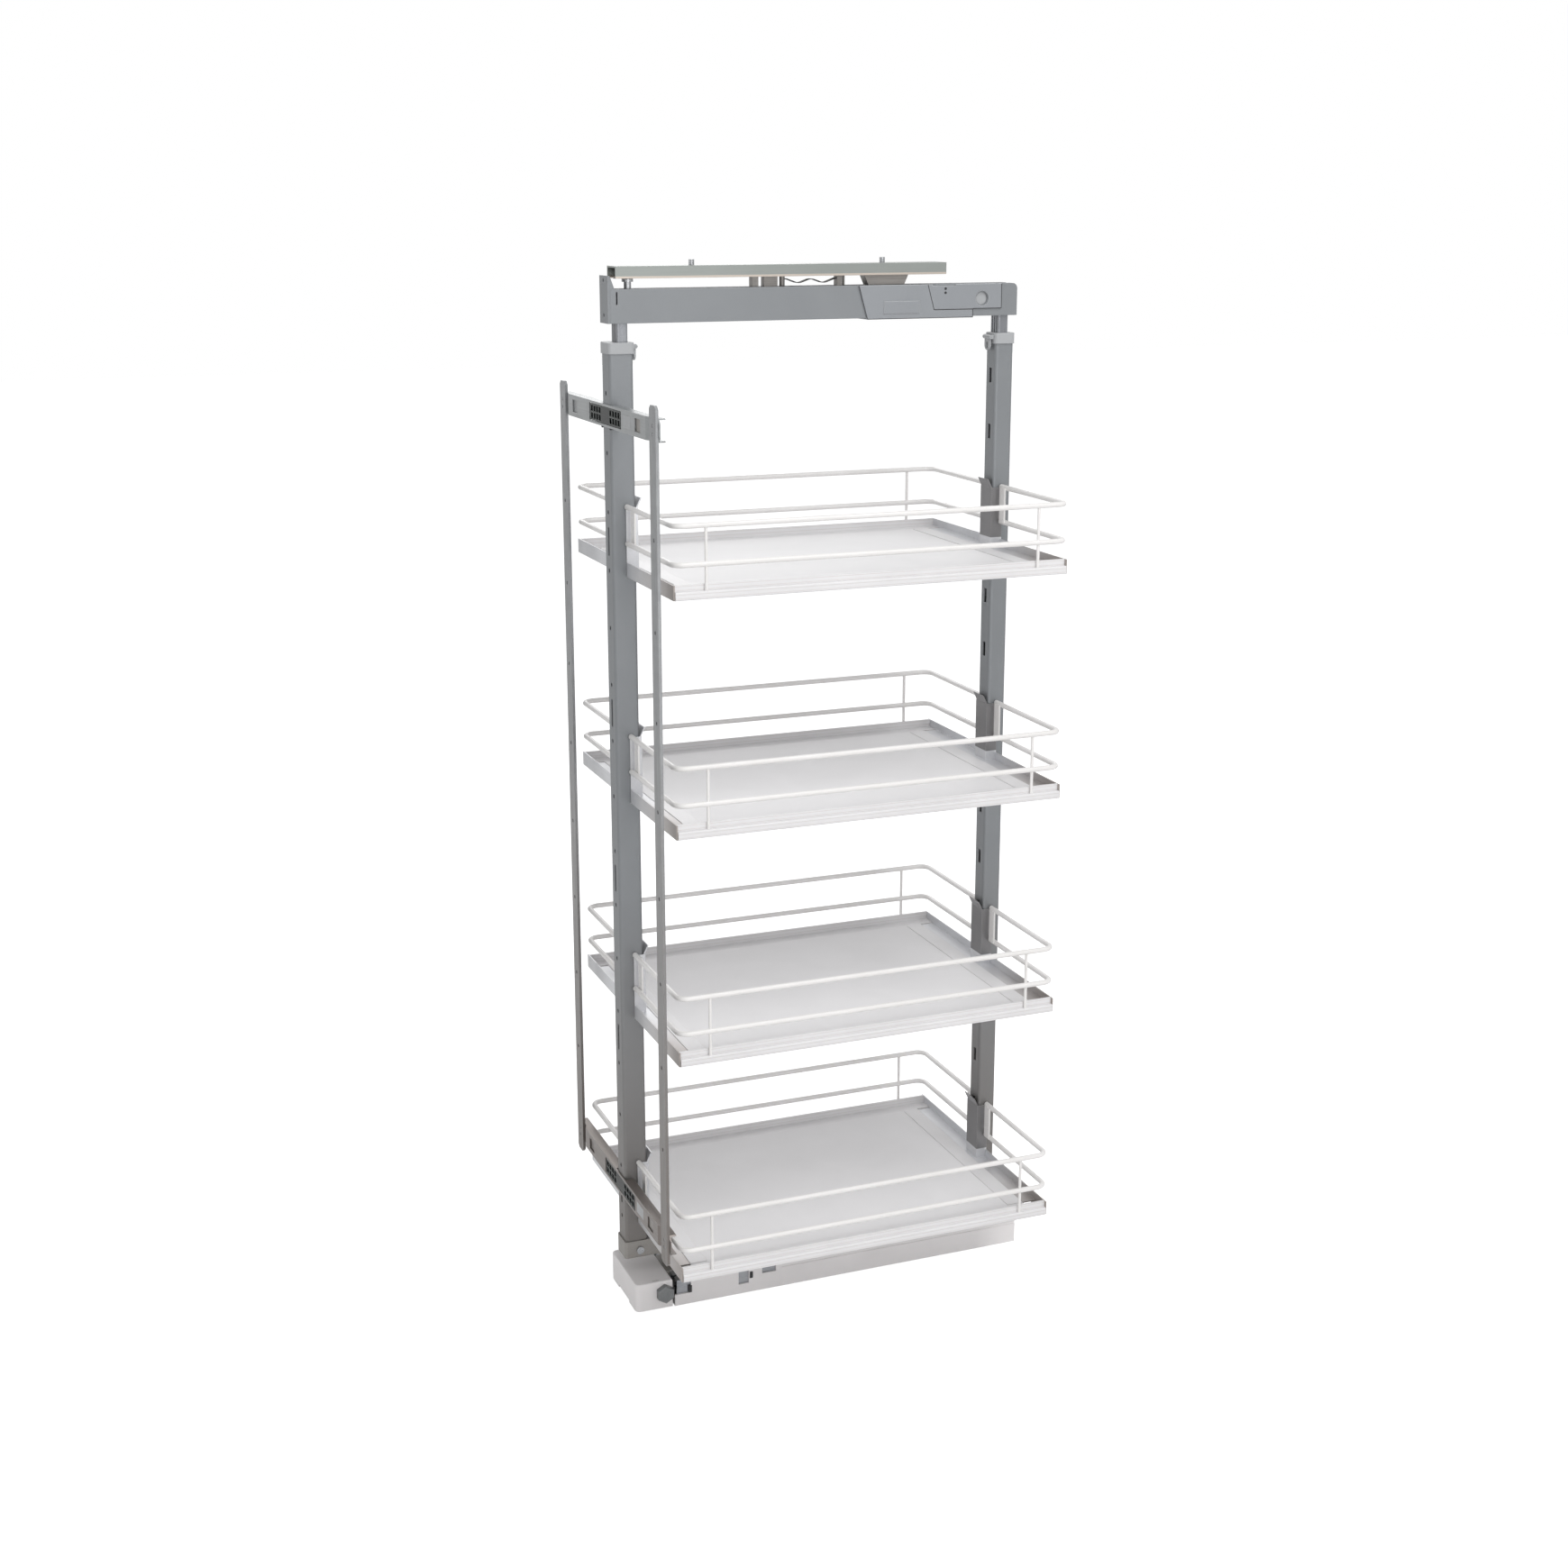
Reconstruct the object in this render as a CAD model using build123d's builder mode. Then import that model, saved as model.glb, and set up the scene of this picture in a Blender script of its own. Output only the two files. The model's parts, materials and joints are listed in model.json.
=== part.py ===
from build123d import *
import os

os.makedirs("parts", exist_ok=True)

# Clearances and sheet that many pieces share, in millimetres
overrun = 2.0  # how far a cut passes the face that it opens
slip = 0.3  # between pieces that slide past or stand beside each other
running = 0.05  # round a pin in its bore
snug = 0.1  # round a post in its socket
sheet = 1.5  # bent steel sheet

# The whole frame: X across the cabinet, Y into it, Z up from the cabinet floor
base_length = 496.0
base_width = 96.0
base_height = 35.0
base_wall = 2.0
tray_setback = 15.0  # front ends of the trays behind the front of the base
front_line = -base_length / 2 + tray_setback
hole_spacing = 64.0  # of the holes in the posts

# Front cap of the base
cap_length = 45.0
cap_wall = 2.5
cap_corner = 6.0
cap_edge = 1.5
cap_gap = 3.0  # to the housing behind it
cap_step_width = 40.0
cap_step_height = 3.0
cap_step_depth = 1.5
cap_clear = 0.8  # above the cabinet floor
cap_slit_length = 9.0
cap_slit_width = 1.8
cap_slit_inset = 5.0

# Clamping bolt in the cap
bolt_setback = 20.0  # behind the front line
bolt_drop = 14.5  # below the base's top
bolt_flats = 19.0
bolt_head = 8.0
bolt_edge = 1.0
bolt_radius = 6.0
bolt_shank = 14.0
bolt_boss_wall = 3.0

# Base housing; its places along Y lie behind the front line
low_length = 20.0
low_floor = 14.0
notch_start = 113.0
notch_length = 13.0
notch_floor = 12.0
window_start = 143.0
window_length = 17.6
window_height = 8.0
window_drop = 14.0  # window's lower edge below the base's top
window_corner = 1.0
bead_drop = 9.0  # below the base's top
bead_width = 3.0
bead_depth = 0.6
fixing_radius = 2.75
fixing_spacing_x = 32.0
fixing_end_margin = 88.0  # at least, from each end of the base
rear_cap_thickness = 3.0
rear_cap_inset = 1.0

# Telescopic runner; its start lies behind the front line
runner_start = 36.0
runner_end_gap = 1.0  # to the rear cap
rail_floor = 3.0
rail_clear = 4.0  # below the base's top
rail_wall = 1.6
rail_depth = 10.0
member_gap = 0.5
bar_thickness = 4.0
bar_height = 20.0
bar_end_radius = 5.0
brace_thickness = 2.0
roller_play = 0.2
roller_width = 6.0
roller_gap = 1.0
axle_radius = 3.0
axle_head = 0.5
end_roller_inset = 15.0
pad_length = 26.0
pad_corner = 3.0
pad_distance_share = 0.41  # of the runner, from the roller at the same end

# Moving beam under the trays
beam_floor = 6.0
beam_wall = 2.0
beam_front = -11.0  # behind the front line

# Posts
front_post_width = 27.8
front_post_depth = 27.2
front_post_reach = 15.4  # from the front line forward to the post's front face
rear_post_width = 24.4
rear_post_depth = 22.8
rear_post_overlap = 11.9  # front face ahead of the trays' rear ends
post_wall = 1.8
post_corner = 3.5
post_end_margin = 46.0  # above the last hole
first_hole = 104.0
hole_count = 16
hole_radius = 2.5
slot_length = 32.0
slot_width = 5.0
first_slot = 136.0
slot_pitch = 192.0
slot_count = 5

# Feet of the posts
foot_floor = 54.0
foot_height = 21.0
foot_wall = 1.4
foot_plate = 2.0
foot_reach = 22.0  # back of the level part, behind the front line
foot_bend = 10.0
foot_bend_drop = 4.0
foot_slope = 8.0
foot_pad_end = 130.0
foot_pad_rise = 14.0
foot_shoulder = 60.0
foot_screw_place = 1.3
foot_screw_height = 63.0
foot_screw_radius = 3.0
foot_screw_head = 2.2
foot_screw_head_radius = 4.5
foot_screw_length = 5.0
rear_foot_height = 42.0
rear_screw_height = 63.0

# Collars with their clamping levers
collar_height = 12.0
collar_cap = 8.0  # of it above the post
collar_wall = 1.4
collar_corner = 4.5
collar_edge = 1.0
lever_width = 12.0
lever_thickness = 2.4
lever_length = 15.0
lever_knuckle = 2.4
lever_pin_radius = 1.2
lever_lug = 2.6
lever_drop = 4.6  # pivot below the collar's top
lever_slot_width = 4.0
lever_slot_length = 8.0

# Inner posts, which carry the top bar
inner_width = 20.2
inner_depth = 11.9
inner_corner = 1.5
inner_groove_depth = 1.2
inner_groove_width = 2.4
inner_groove_pitch = 5.2
inner_groove_count = 3
inner_wall = 3.0
inner_overlap = 298.0  # of the inner posts inside the posts
front_inner_place = 1.1  # centre behind the front line
rear_inner_inset = 9.9  # centre behind the rear post's front face
inner_play = 0.25
glide_height = 22.0

# Top bar
bar_half_width = 13.9
bar_gap = 19.8  # between the collars and the bar
top_bar_height = 35.7
top_bar_wall = 1.8
top_bar_reach = 13.0  # in front of the front line
top_bar_rear_reach = 12.7  # past the trays' rear ends
top_bar_corner = 6.0
top_slot_width = 12.0
sight_radius = 7.0
sight_inset = 44.7  # from the bar's rear end
sight_rise = 19.4  # above the bar's floor
bar_slit_width = 1.5
bar_slit_length = 13.0
bar_slit_place = 7.4
bar_slit_top = 3.0

# Bracket on the front end of the bar
end_plate = 2.9
end_plate_rise = 14.0
end_gusset = 5.0
end_hole_radius = 2.0
end_hole_drop = 4.7
end_hole_rise = 8.5

# Covers on the bar; their places lie ahead of the bar's rear end
cover_length = 140.4
cover_slant = 10.4
cover_inset = 56.0
cover_wall = 1.4
panel_length = 92.2
panel_slant = 7.8
panel_inset = 20.0
panel_thickness = 1.2
panel_rise = 9.5  # above the cover's lower edge
panel_notch_length = 29.0
panel_notch_depth = 1.6
panel_notch_place = 5.5
sight_edge = 1.0

# Top rail, screwed to the cabinet
top_rail_width = 29.8
top_rail_height = 12.9
top_rail_wall = 1.8
top_rail_lip = 1.5
top_rail_slot = 13.0
top_rail_reach = 6.9  # in front of the front line
top_rail_shortfall = 77.2  # its rear end ahead of the trays' rear ends
rail_gap = 11.0  # between the bar and the rail
stud_spacing = 224.0
stud_offset = 9.0  # their middle behind the rail's middle
stud_radius = 3.0
stud_shoulder = 4.0  # radius inside the rail's wall
stud_rise = 6.0
stud_head = 5.0
stud_head_height = 1.3

# Guide roller at the front of the bar
guide_place = 10.8
guide_stem = 4.0
guide_flange = 6.2
guide_flange_thickness = 3.0
guide_flange_drop = 0.7
guide_spindle = 2.5
guide_spindle_head = 0.8
guide_roller_play = 0.4  # to the rail's walls
guide_roller_thickness = 5.5
guide_nut_length = 14.0
guide_nut_height = 3.1
guide_nut_half_width = 9.5

# Half-travel carriage between the bar and the rail; its places lie behind its front end
carriage_length = 184.0
carriage_inset = 45.1  # its rear end ahead of the rail's
carriage_height = 2.4
carriage_half_width = 4.8
shoe_half_width = 9.0
shoe_height = 3.2
leg_starts = (1.0, 14.9, 101.0)
leg_lengths = (7.2, 15.7, 5.7)
stub_place = 37.6
stub_radius = 3.0
peg_place = 110.5
peg_radius = 1.5
carriage_roller_places = (86.0, 168.0)
carriage_roller_thickness = 4.0
rear_glide_start = 133.0
rear_glide_length = 53.0
rear_glide_slant = 4.7
rear_glide_half_width = 7.0
rear_glide_neck = 12.0

# Wave spring on the carriage
wave_count = 2
wave_height = 6.0
wave_thickness = 0.8
wave_width = 8.0
wave_bend = 12.0

# Door frame
strip_width = 20.8
strip_thickness = 3.3
strip_overhang = 24.9  # past each crossbar's middle
strip_floor = 119.5
strip_inset = 7.0  # middle of each strip inside the trays' rims
strip_reach = 17.2  # front face before the front line
strip_hole_pitch = 96.0
strip_hole_count = 8
strip_hole_radius = 2.25
strip_chamfer = 4.0
crossbar_height = 24.2
crossbar_spacing = 896.0
crossbar_flange = 11.5
crossbar_overhang = 12.2  # past each strip's middle
crossbar_end = 26.5  # flat end behind the strip
crossbar_joggle = 8.0
crossbar_chamfer = 5.0
crossbar_relief = 3.2  # beside the post
adjuster_gap = 8.0  # to the slide block
adjuster_depth = 11.0
adjuster_half_height = 8.9
pocket_columns = 4
pocket_rows = 2
pocket_rib = 1.6
pocket_depth = 2.4
window_play = 3.5
window_half_height = 9.5
slider_gap = 15.5  # to the access hole
slider_length = 24.0
slider_flange = 2.5
slider_depth = 7.5
access_gap = 17.0  # to the bend of the crossbar
access_length = 19.0
access_height = 14.0
adjust_radius = 2.2
adjust_head_radius = 4.2
adjust_head_length = 5.0
adjust_thread_share = 0.6  # of an adjuster's arm
adjust_setback = 5.7
side_travel = 2.5
joint_screw_rise = 4.5
joint_screw_radius = 2.0
joint_screw_head_radius = 3.6
joint_screw_head = 1.5
joint_screw_sink = 0.4

# Trays
tray_count = 4
tray_pitch = 4 * hole_spacing
first_rim = 114.0
tray_rear_setback = 24.7  # rear ends of the trays ahead of the rear of the base
rim_height = 16.0
rim_half_width = 169.3
rim_lip = 3.0
rim_step = 7.0  # below the rim's top
bulge = 4.7
bulge_radius = 1.5
chamber_wall = 1.8
ledge_depth = 9.0  # tray floor below the rim's top
ledge_width = 16.3
rebate_width = 4.0
board_thickness = 4.0
end_flange = 18.6
end_lip = 8.0
end_overhang = 2.7  # past the rim on each side
hanger_rise = 60.0
hanger_flare = 5.0
hanger_flare_rise = 10.0
hook_drop = 12.0  # lower hook below the rim's top
hook_half_width = 2.5
hook_height = 8.0
hook_lip = 4.0
hook_lip_thickness = 1.2
hook_lift = 8.0
hook_slot_width = 6.0

# Wire railing of a tray
wire_radius = 3.0
thin_wire_radius = 1.75
railing_outset = 2.0  # from the rim's outer face
railing_inset = 1.2
upper_rail_rise = 60.9
lower_rail_rise = 20.6
railing_corner = 12.0
upright_inset = 36.0
link_start = 4.0  # from the hanger
link_width = 12.0
link_thickness = 2.0
link_overlap = 0.5

# Places worked out from the sizes above
base_front = -base_length / 2
base_rear = base_length / 2
cap_rear = base_front + cap_length
housing_front = cap_rear + cap_gap
runner_front = front_line + runner_start
runner_rear = base_rear - rear_cap_inset - rear_cap_thickness - runner_end_gap
rail_height = base_height - rail_floor - rail_clear
bolt_height = base_height - bolt_drop
window_floor = base_height - window_drop
fixing_pitch = hole_spacing / 2
fixing_spacing_y = fixing_pitch * round((base_length - 2 * fixing_end_margin) / fixing_pitch)
rail_middle = rail_floor + rail_height / 2
roller_radius = rail_height / 2 - rail_wall - roller_play
outer_rail_far = base_width / 2 - base_wall
outer_rail_near = outer_rail_far - rail_depth
bar_far = outer_rail_near - member_gap
bar_near = bar_far - bar_thickness
beam_half_width = bar_near - member_gap - rail_depth
brace_rear = runner_rear - slip
brace_front = brace_rear - brace_thickness
member_rear = brace_front - member_gap
outer_roller_y = brace_front - end_roller_inset
inner_roller_y = runner_front + end_roller_inset
pad_distance = pad_distance_share * (runner_rear - runner_front)
beam_top = base_height - cap_wall
tray_length = base_length - tray_setback - tray_rear_setback
front_post_front = front_line - front_post_reach
front_post_back = front_post_front + front_post_depth
front_post_middle = front_post_front + front_post_depth / 2
rear_post_front = front_line + tray_length - rear_post_overlap
rear_post_middle = rear_post_front + rear_post_depth / 2
front_post_bottom = foot_floor + foot_plate
rear_post_bottom = beam_top + foot_plate
hole_span = (hole_count - 1) * hole_spacing
post_top = first_hole + hole_span + post_end_margin
front_inner_y = front_line + front_inner_place
rear_inner_y = rear_post_front + rear_inner_inset
inner_bottom = post_top - inner_overlap
collar_bottom = post_top + collar_cap - collar_height
collar_top = post_top + collar_cap
top_bar_floor = collar_top + bar_gap
top_bar_top = top_bar_floor + top_bar_height
top_bar_front = front_line - top_bar_reach
top_bar_rear = front_line + tray_length + top_bar_rear_reach
lip_underside = top_bar_top - top_bar_wall
top_rail_floor = top_bar_top + rail_gap
top_rail_top = top_rail_floor + top_rail_height
rail_ceiling = top_rail_top - top_rail_wall
rail_front = front_line - top_rail_reach
rail_rear = front_line + tray_length - top_rail_shortfall
rail_middle_y = (rail_front + rail_rear) / 2
guide_roller_radius = top_rail_width / 2 - top_rail_wall - guide_roller_play
carriage_front = rail_rear - carriage_inset - carriage_length
chassis_floor = top_rail_floor + top_rail_lip + slip
chassis_top = chassis_floor + carriage_height
door_plane = front_line - strip_reach
strip_back = door_plane + strip_thickness
strip_length = crossbar_spacing + 2 * strip_overhang
strip_middle = strip_floor + strip_length / 2
strip_half_span = rim_half_width - strip_inset
crossbar_half_length = strip_half_span + crossbar_overhang
joggle_end = crossbar_half_length - crossbar_end
crossbar_straight = joggle_end - crossbar_joggle
access_start = crossbar_straight - access_gap - access_length
slider_start = access_start - slider_gap - slider_length
adjuster_half_length = slider_start - slider_flange - adjuster_gap
adjust_thread = adjust_thread_share * (adjuster_half_length - front_post_width / 2)
crossbar_heights = (strip_middle - crossbar_spacing / 2, strip_middle + crossbar_spacing / 2)
hook_slot_height = hook_height + hook_lift + 2 * slip
hook_slot_middle = first_rim - hook_drop - slip + hook_slot_height / 2
end_half_width = rim_half_width + end_overhang
railing_half_width = rim_half_width + railing_outset


def section_from(y):
    """Plane at y whose normal points into the cabinet, with its own y upright."""
    return Plane((0, y, 0), x_dir=(-1, 0, 0), z_dir=(0, 1, 0))


# Front cap: a moulded hood that closes the base and moves with the beam
with BuildPart() as front_cap:
    with BuildSketch(Plane.XY.offset(cap_clear)):
        with Locations((0, base_front + cap_length / 2)):
            Rectangle(base_width, cap_length)
    extrude(amount=base_height - cap_clear)
    fillet(front_cap.edges().filter_by(Axis.Z).group_by(Axis.Y)[0], radius=cap_corner)
    fillet(front_cap.faces().sort_by(Axis.Z)[-1].edges(), radius=cap_edge)
    with BuildSketch():
        with Locations((0, base_front + cap_wall + cap_length / 2)):
            Rectangle(base_width - 2 * cap_wall, cap_length)
    extrude(amount=beam_top, mode=Mode.SUBTRACT)
    with BuildSketch(Plane.YZ.offset(base_width / 2 - bolt_shank)):
        with Locations((front_line + bolt_setback, bolt_height)):
            Circle(bolt_radius + bolt_boss_wall)
    extrude(amount=bolt_shank - cap_wall)
    with BuildSketch(Plane.YZ.offset(base_width / 2 - bolt_shank - overrun)):
        with Locations((front_line + bolt_setback, bolt_height)):
            Circle(bolt_radius + running)
    extrude(amount=bolt_shank + 2 * overrun, mode=Mode.SUBTRACT)
    with BuildSketch(section_from(base_front - overrun)):
        with Locations((0, cap_clear)):
            Rectangle(cap_step_width, 2 * cap_step_height)
    extrude(amount=cap_step_depth + overrun, mode=Mode.SUBTRACT)
    with BuildSketch(Plane.XY.offset(beam_top - overrun)):
        with Locations((base_width / 2 - cap_slit_inset, front_line + bolt_setback - bolt_flats / 2)):
            SlotOverall(cap_slit_length, cap_slit_width, rotation=90)
    extrude(amount=cap_wall + 2 * overrun, mode=Mode.SUBTRACT)
front_cap.part.label = "front_cap"
export_step(front_cap.part, "parts/front_cap.step")


# Clamping bolt, with its hexagon head beside the cap
with BuildPart() as clamping_bolt:
    with BuildSketch(Plane.YZ.offset(base_width / 2 + slip)):
        with Locations((front_line + bolt_setback, bolt_height)):
            RegularPolygon(bolt_flats / 2, 6, major_radius=False, rotation=90)
    extrude(amount=bolt_head)
    chamfer(clamping_bolt.faces().sort_by(Axis.X)[-1].edges(), length=bolt_edge)
    with BuildSketch(Plane.YZ.offset(base_width / 2 - bolt_shank)):
        with Locations((front_line + bolt_setback, bolt_height)):
            Circle(bolt_radius)
    extrude(amount=bolt_shank + slip)
clamping_bolt.part.label = "clamping_bolt"
export_step(clamping_bolt.part, "parts/clamping_bolt.step")


# Base housing: a channel open at the top, screwed to the cabinet floor
with BuildPart() as base_housing:
    with BuildSketch(section_from(housing_front)):
        with Locations((0, base_height / 2)):
            Rectangle(base_width, base_height)
        with Locations((0, base_wall + base_height / 2)):
            Rectangle(base_width - 2 * base_wall, base_height, mode=Mode.SUBTRACT)
    extrude(amount=base_rear - housing_front)
    notches = (
        (housing_front, low_length, low_floor),
        (front_line + notch_start, notch_length, notch_floor),
    )
    for start, length, floor in notches:
        with BuildSketch(Plane.YZ):
            with Locations((start + length / 2, floor + base_height / 2)):
                Rectangle(length, base_height)
        extrude(amount=base_width / 2 + overrun, both=True, mode=Mode.SUBTRACT)
    with BuildSketch(Plane.YZ):
        window_middle = front_line + window_start + window_length / 2
        with Locations((window_middle, window_floor + window_height / 2)):
            RectangleRounded(window_length, window_height, window_corner)
    extrude(amount=base_width / 2 + overrun, both=True, mode=Mode.SUBTRACT)
    bead_start = window_middle + window_length
    for side in (-1, 1):
        with BuildSketch(Plane.YZ.offset(side * (base_width / 2 - bead_depth))):
            with Locations(((bead_start + base_rear) / 2, base_height - bead_drop)):
                Rectangle(base_rear - bead_start + overrun, bead_width)
        extrude(amount=side * (bead_depth + overrun), mode=Mode.SUBTRACT)
    with BuildSketch():
        with GridLocations(fixing_spacing_x, fixing_spacing_y, 2, 2):
            Circle(fixing_radius)
    extrude(amount=base_wall + overrun, mode=Mode.SUBTRACT)
base_housing.part.label = "base_housing"
export_step(base_housing.part, "parts/base_housing.step")


# Rear cap closes the back of the housing
with BuildPart() as rear_cap:
    with BuildSketch(section_from(base_rear - rear_cap_inset - rear_cap_thickness)):
        with Locations((0, (base_wall + base_height) / 2)):
            Rectangle(base_width - 2 * base_wall, base_height - base_wall)
    extrude(amount=rear_cap_thickness)
rear_cap.part.label = "rear_cap"
export_step(rear_cap.part, "parts/rear_cap.step")


def rail_pair(near, web, start, length):
    """Two channels from near outwards, with their webs at web, mirrored about the middle."""
    far = near + rail_depth
    web_side = 1 if web > near else -1
    with BuildPart() as rails:
        with BuildSketch(section_from(start)):
            for side in (-1, 1):
                with Locations((side * (near + far) / 2, rail_middle)):
                    Rectangle(rail_depth, rail_height)
                opening = side * ((near + far) / 2 - web_side * rail_wall)
                with Locations((opening, rail_middle)):
                    Rectangle(rail_depth, rail_height - 2 * rail_wall, mode=Mode.SUBTRACT)
        extrude(amount=length)
    return rails.part


# Fixed rails stand inside the housing and open towards the middle
fixed_rails = rail_pair(outer_rail_near, outer_rail_far, runner_front, runner_rear - runner_front)
fixed_rails.label = "fixed_rails"
export_step(fixed_rails, "parts/fixed_rails.step")

# Inner rails are fixed to the moving beam and open outwards
inner_rails = rail_pair(beam_half_width, beam_half_width, runner_front, member_rear - runner_front)
inner_rails.label = "inner_rails"
export_step(inner_rails, "parts/inner_rails.step")


# Middle runner: two bars joined behind the beam, with short axles for the rollers
axle_length = roller_gap + roller_width + axle_head
with BuildPart() as middle_runner:
    for side in (-1, 1):
        with BuildSketch(Plane.YZ.offset(side * bar_near)):
            with Locations(((runner_front + brace_rear) / 2, rail_middle)):
                RectangleRounded(brace_rear - runner_front, bar_height, bar_end_radius)
        extrude(amount=side * bar_thickness)
    with BuildSketch(section_from(brace_front)):
        with Locations((0, rail_middle)):
            Rectangle(2 * bar_far, bar_height - 2 * bar_end_radius)
    extrude(amount=brace_thickness)
    for side in (-1, 1):
        with BuildSketch(Plane.YZ.offset(side * bar_far)):
            with Locations((outer_roller_y, rail_middle)):
                Circle(axle_radius)
        extrude(amount=side * axle_length)
        with BuildSketch(Plane.YZ.offset(side * bar_near)):
            with Locations((inner_roller_y, rail_middle)):
                Circle(axle_radius)
        extrude(amount=-side * axle_length)
middle_runner.part.label = "middle_runner"
export_step(middle_runner.part, "parts/middle_runner.step")


def runner_rollers(place, inner_face):
    """A pair of rollers on one axis, each with its inner face this far from the middle."""
    with BuildPart() as rollers:
        for side in (-1, 1):
            with BuildSketch(Plane.YZ.offset(side * inner_face)):
                with Locations((place, rail_middle)):
                    Circle(roller_radius)
                    Circle(axle_radius + running, mode=Mode.SUBTRACT)
            extrude(amount=side * roller_width)
    return rollers.part


outer_rollers = runner_rollers(outer_roller_y, bar_far + roller_gap)
outer_rollers.label = "outer_rollers"
export_step(outer_rollers, "parts/outer_rollers.step")

inner_rollers = runner_rollers(inner_roller_y, bar_near - roller_gap - roller_width)
inner_rollers.label = "inner_rollers"
export_step(inner_rollers, "parts/inner_rollers.step")


# Glide pads steady the middle runner away from its rollers
with BuildPart() as glide_pads:
    pad_height = rail_height - 2 * rail_wall - 2 * slip
    pad_width = roller_gap + roller_width
    for side in (-1, 1):
        with BuildSketch(Plane.YZ.offset(side * bar_far)):
            with Locations((outer_roller_y - pad_distance, rail_middle)):
                RectangleRounded(pad_length, pad_height, pad_corner)
        extrude(amount=side * pad_width)
        with BuildSketch(Plane.YZ.offset(side * bar_near)):
            with Locations((inner_roller_y + pad_distance, rail_middle)):
                RectangleRounded(pad_length, pad_height, pad_corner)
        extrude(amount=-side * pad_width)
glide_pads.part.label = "glide_pads"
export_step(glide_pads.part, "parts/glide_pads.step")


# Moving beam: a box section between the inner rails that carries the cap and both posts
with BuildPart() as moving_beam:
    beam_start = front_line + beam_front
    with BuildSketch(section_from(beam_start)):
        with Locations((0, (beam_floor + beam_top) / 2)):
            Rectangle(2 * beam_half_width, beam_top - beam_floor)
            inside_width = 2 * (beam_half_width - beam_wall)
            inside_height = beam_top - beam_floor - 2 * beam_wall
            Rectangle(inside_width, inside_height, mode=Mode.SUBTRACT)
    extrude(amount=member_rear - beam_start)
moving_beam.part.label = "moving_beam"
export_step(moving_beam.part, "parts/moving_beam.step")


# Front foot: a socket for the post that steps down behind the cap onto the beam
socket_half = front_post_width / 2 + snug + foot_wall
socket_front = front_post_front - snug - foot_wall
foot_top = foot_floor + foot_height
level_end = front_line + foot_reach
bend_end = level_end + foot_bend
pad_start = bend_end + foot_slope
pad_end = front_line + foot_pad_end
shoulder = front_line + foot_shoulder
with BuildPart() as front_foot:
    with BuildSketch(Plane.YZ):
        with BuildLine():
            Polyline(
                (socket_front, foot_floor),
                (level_end, foot_floor),
                (bend_end, foot_floor - foot_bend_drop),
                (pad_start, beam_top),
                (pad_end, beam_top),
                (pad_end, beam_top + foot_pad_rise),
                (shoulder, foot_top),
                (socket_front, foot_top),
                close=True,
            )
        make_face()
    extrude(amount=socket_half, both=True)
    fillet(front_foot.edges().filter_by(Axis.Z).group_by(Axis.Y)[0], radius=post_corner)
    with BuildSketch(Plane.YZ):
        with BuildLine():
            hollow_front = front_post_back + snug + foot_wall
            Polyline(
                (hollow_front, foot_floor + foot_plate),
                (level_end, foot_floor + foot_plate),
                (bend_end + foot_plate, foot_floor - foot_bend_drop + foot_plate),
                (pad_start + foot_plate, beam_top + foot_plate),
                (pad_end + overrun, beam_top + foot_plate),
                (pad_end + overrun, foot_top + overrun),
                (hollow_front, foot_top + overrun),
                close=True,
            )
        make_face()
    extrude(amount=socket_half - foot_wall, both=True, mode=Mode.SUBTRACT)
    with BuildSketch(Plane.XY.offset(front_post_bottom)):
        with Locations((0, front_post_middle)):
            RectangleRounded(front_post_width + 2 * snug, front_post_depth + 2 * snug, post_corner)
    extrude(amount=foot_height, mode=Mode.SUBTRACT)
    with BuildSketch(Plane.YZ):
        with Locations((front_line + foot_screw_place, foot_screw_height)):
            Circle(foot_screw_radius + running)
    extrude(amount=socket_half + overrun, both=True, mode=Mode.SUBTRACT)
front_foot.part.label = "front_foot"
export_step(front_foot.part, "parts/front_foot.step")


# Rear foot: a socket that stands on the beam
rear_socket_half = rear_post_width / 2 + snug + foot_wall
with BuildPart() as rear_foot:
    with BuildSketch(Plane.XY.offset(beam_top)):
        with Locations((0, rear_post_middle)):
            rear_socket_depth = rear_post_depth + 2 * (snug + foot_wall)
            RectangleRounded(2 * rear_socket_half, rear_socket_depth, post_corner)
    extrude(amount=rear_foot_height)
    with BuildSketch(Plane.XY.offset(rear_post_bottom)):
        with Locations((0, rear_post_middle)):
            RectangleRounded(rear_post_width + 2 * snug, rear_post_depth + 2 * snug, post_corner)
    extrude(amount=rear_foot_height, mode=Mode.SUBTRACT)
    with BuildSketch(Plane.YZ):
        with Locations((rear_post_middle, rear_screw_height)):
            Circle(foot_screw_radius + running)
    extrude(amount=rear_socket_half + overrun, both=True, mode=Mode.SUBTRACT)
rear_foot.part.label = "rear_foot"
export_step(rear_foot.part, "parts/rear_foot.step")


# Screws that hold each post in its foot, from both sides
with BuildPart() as foot_screws:
    screw_places = (
        (front_line + foot_screw_place, foot_screw_height, socket_half),
        (rear_post_middle, rear_screw_height, rear_socket_half),
    )
    for y, z, face in screw_places:
        for side in (-1, 1):
            with BuildSketch(Plane.YZ.offset(side * face)):
                with Locations((y, z)):
                    Circle(foot_screw_head_radius)
            extrude(amount=side * foot_screw_head)
            with BuildSketch(Plane.YZ.offset(side * face)):
                with Locations((y, z)):
                    Circle(foot_screw_radius)
            extrude(amount=-side * foot_screw_length)
foot_screws.part.label = "foot_screws"
export_step(foot_screws.part, "parts/foot_screws.step")


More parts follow.
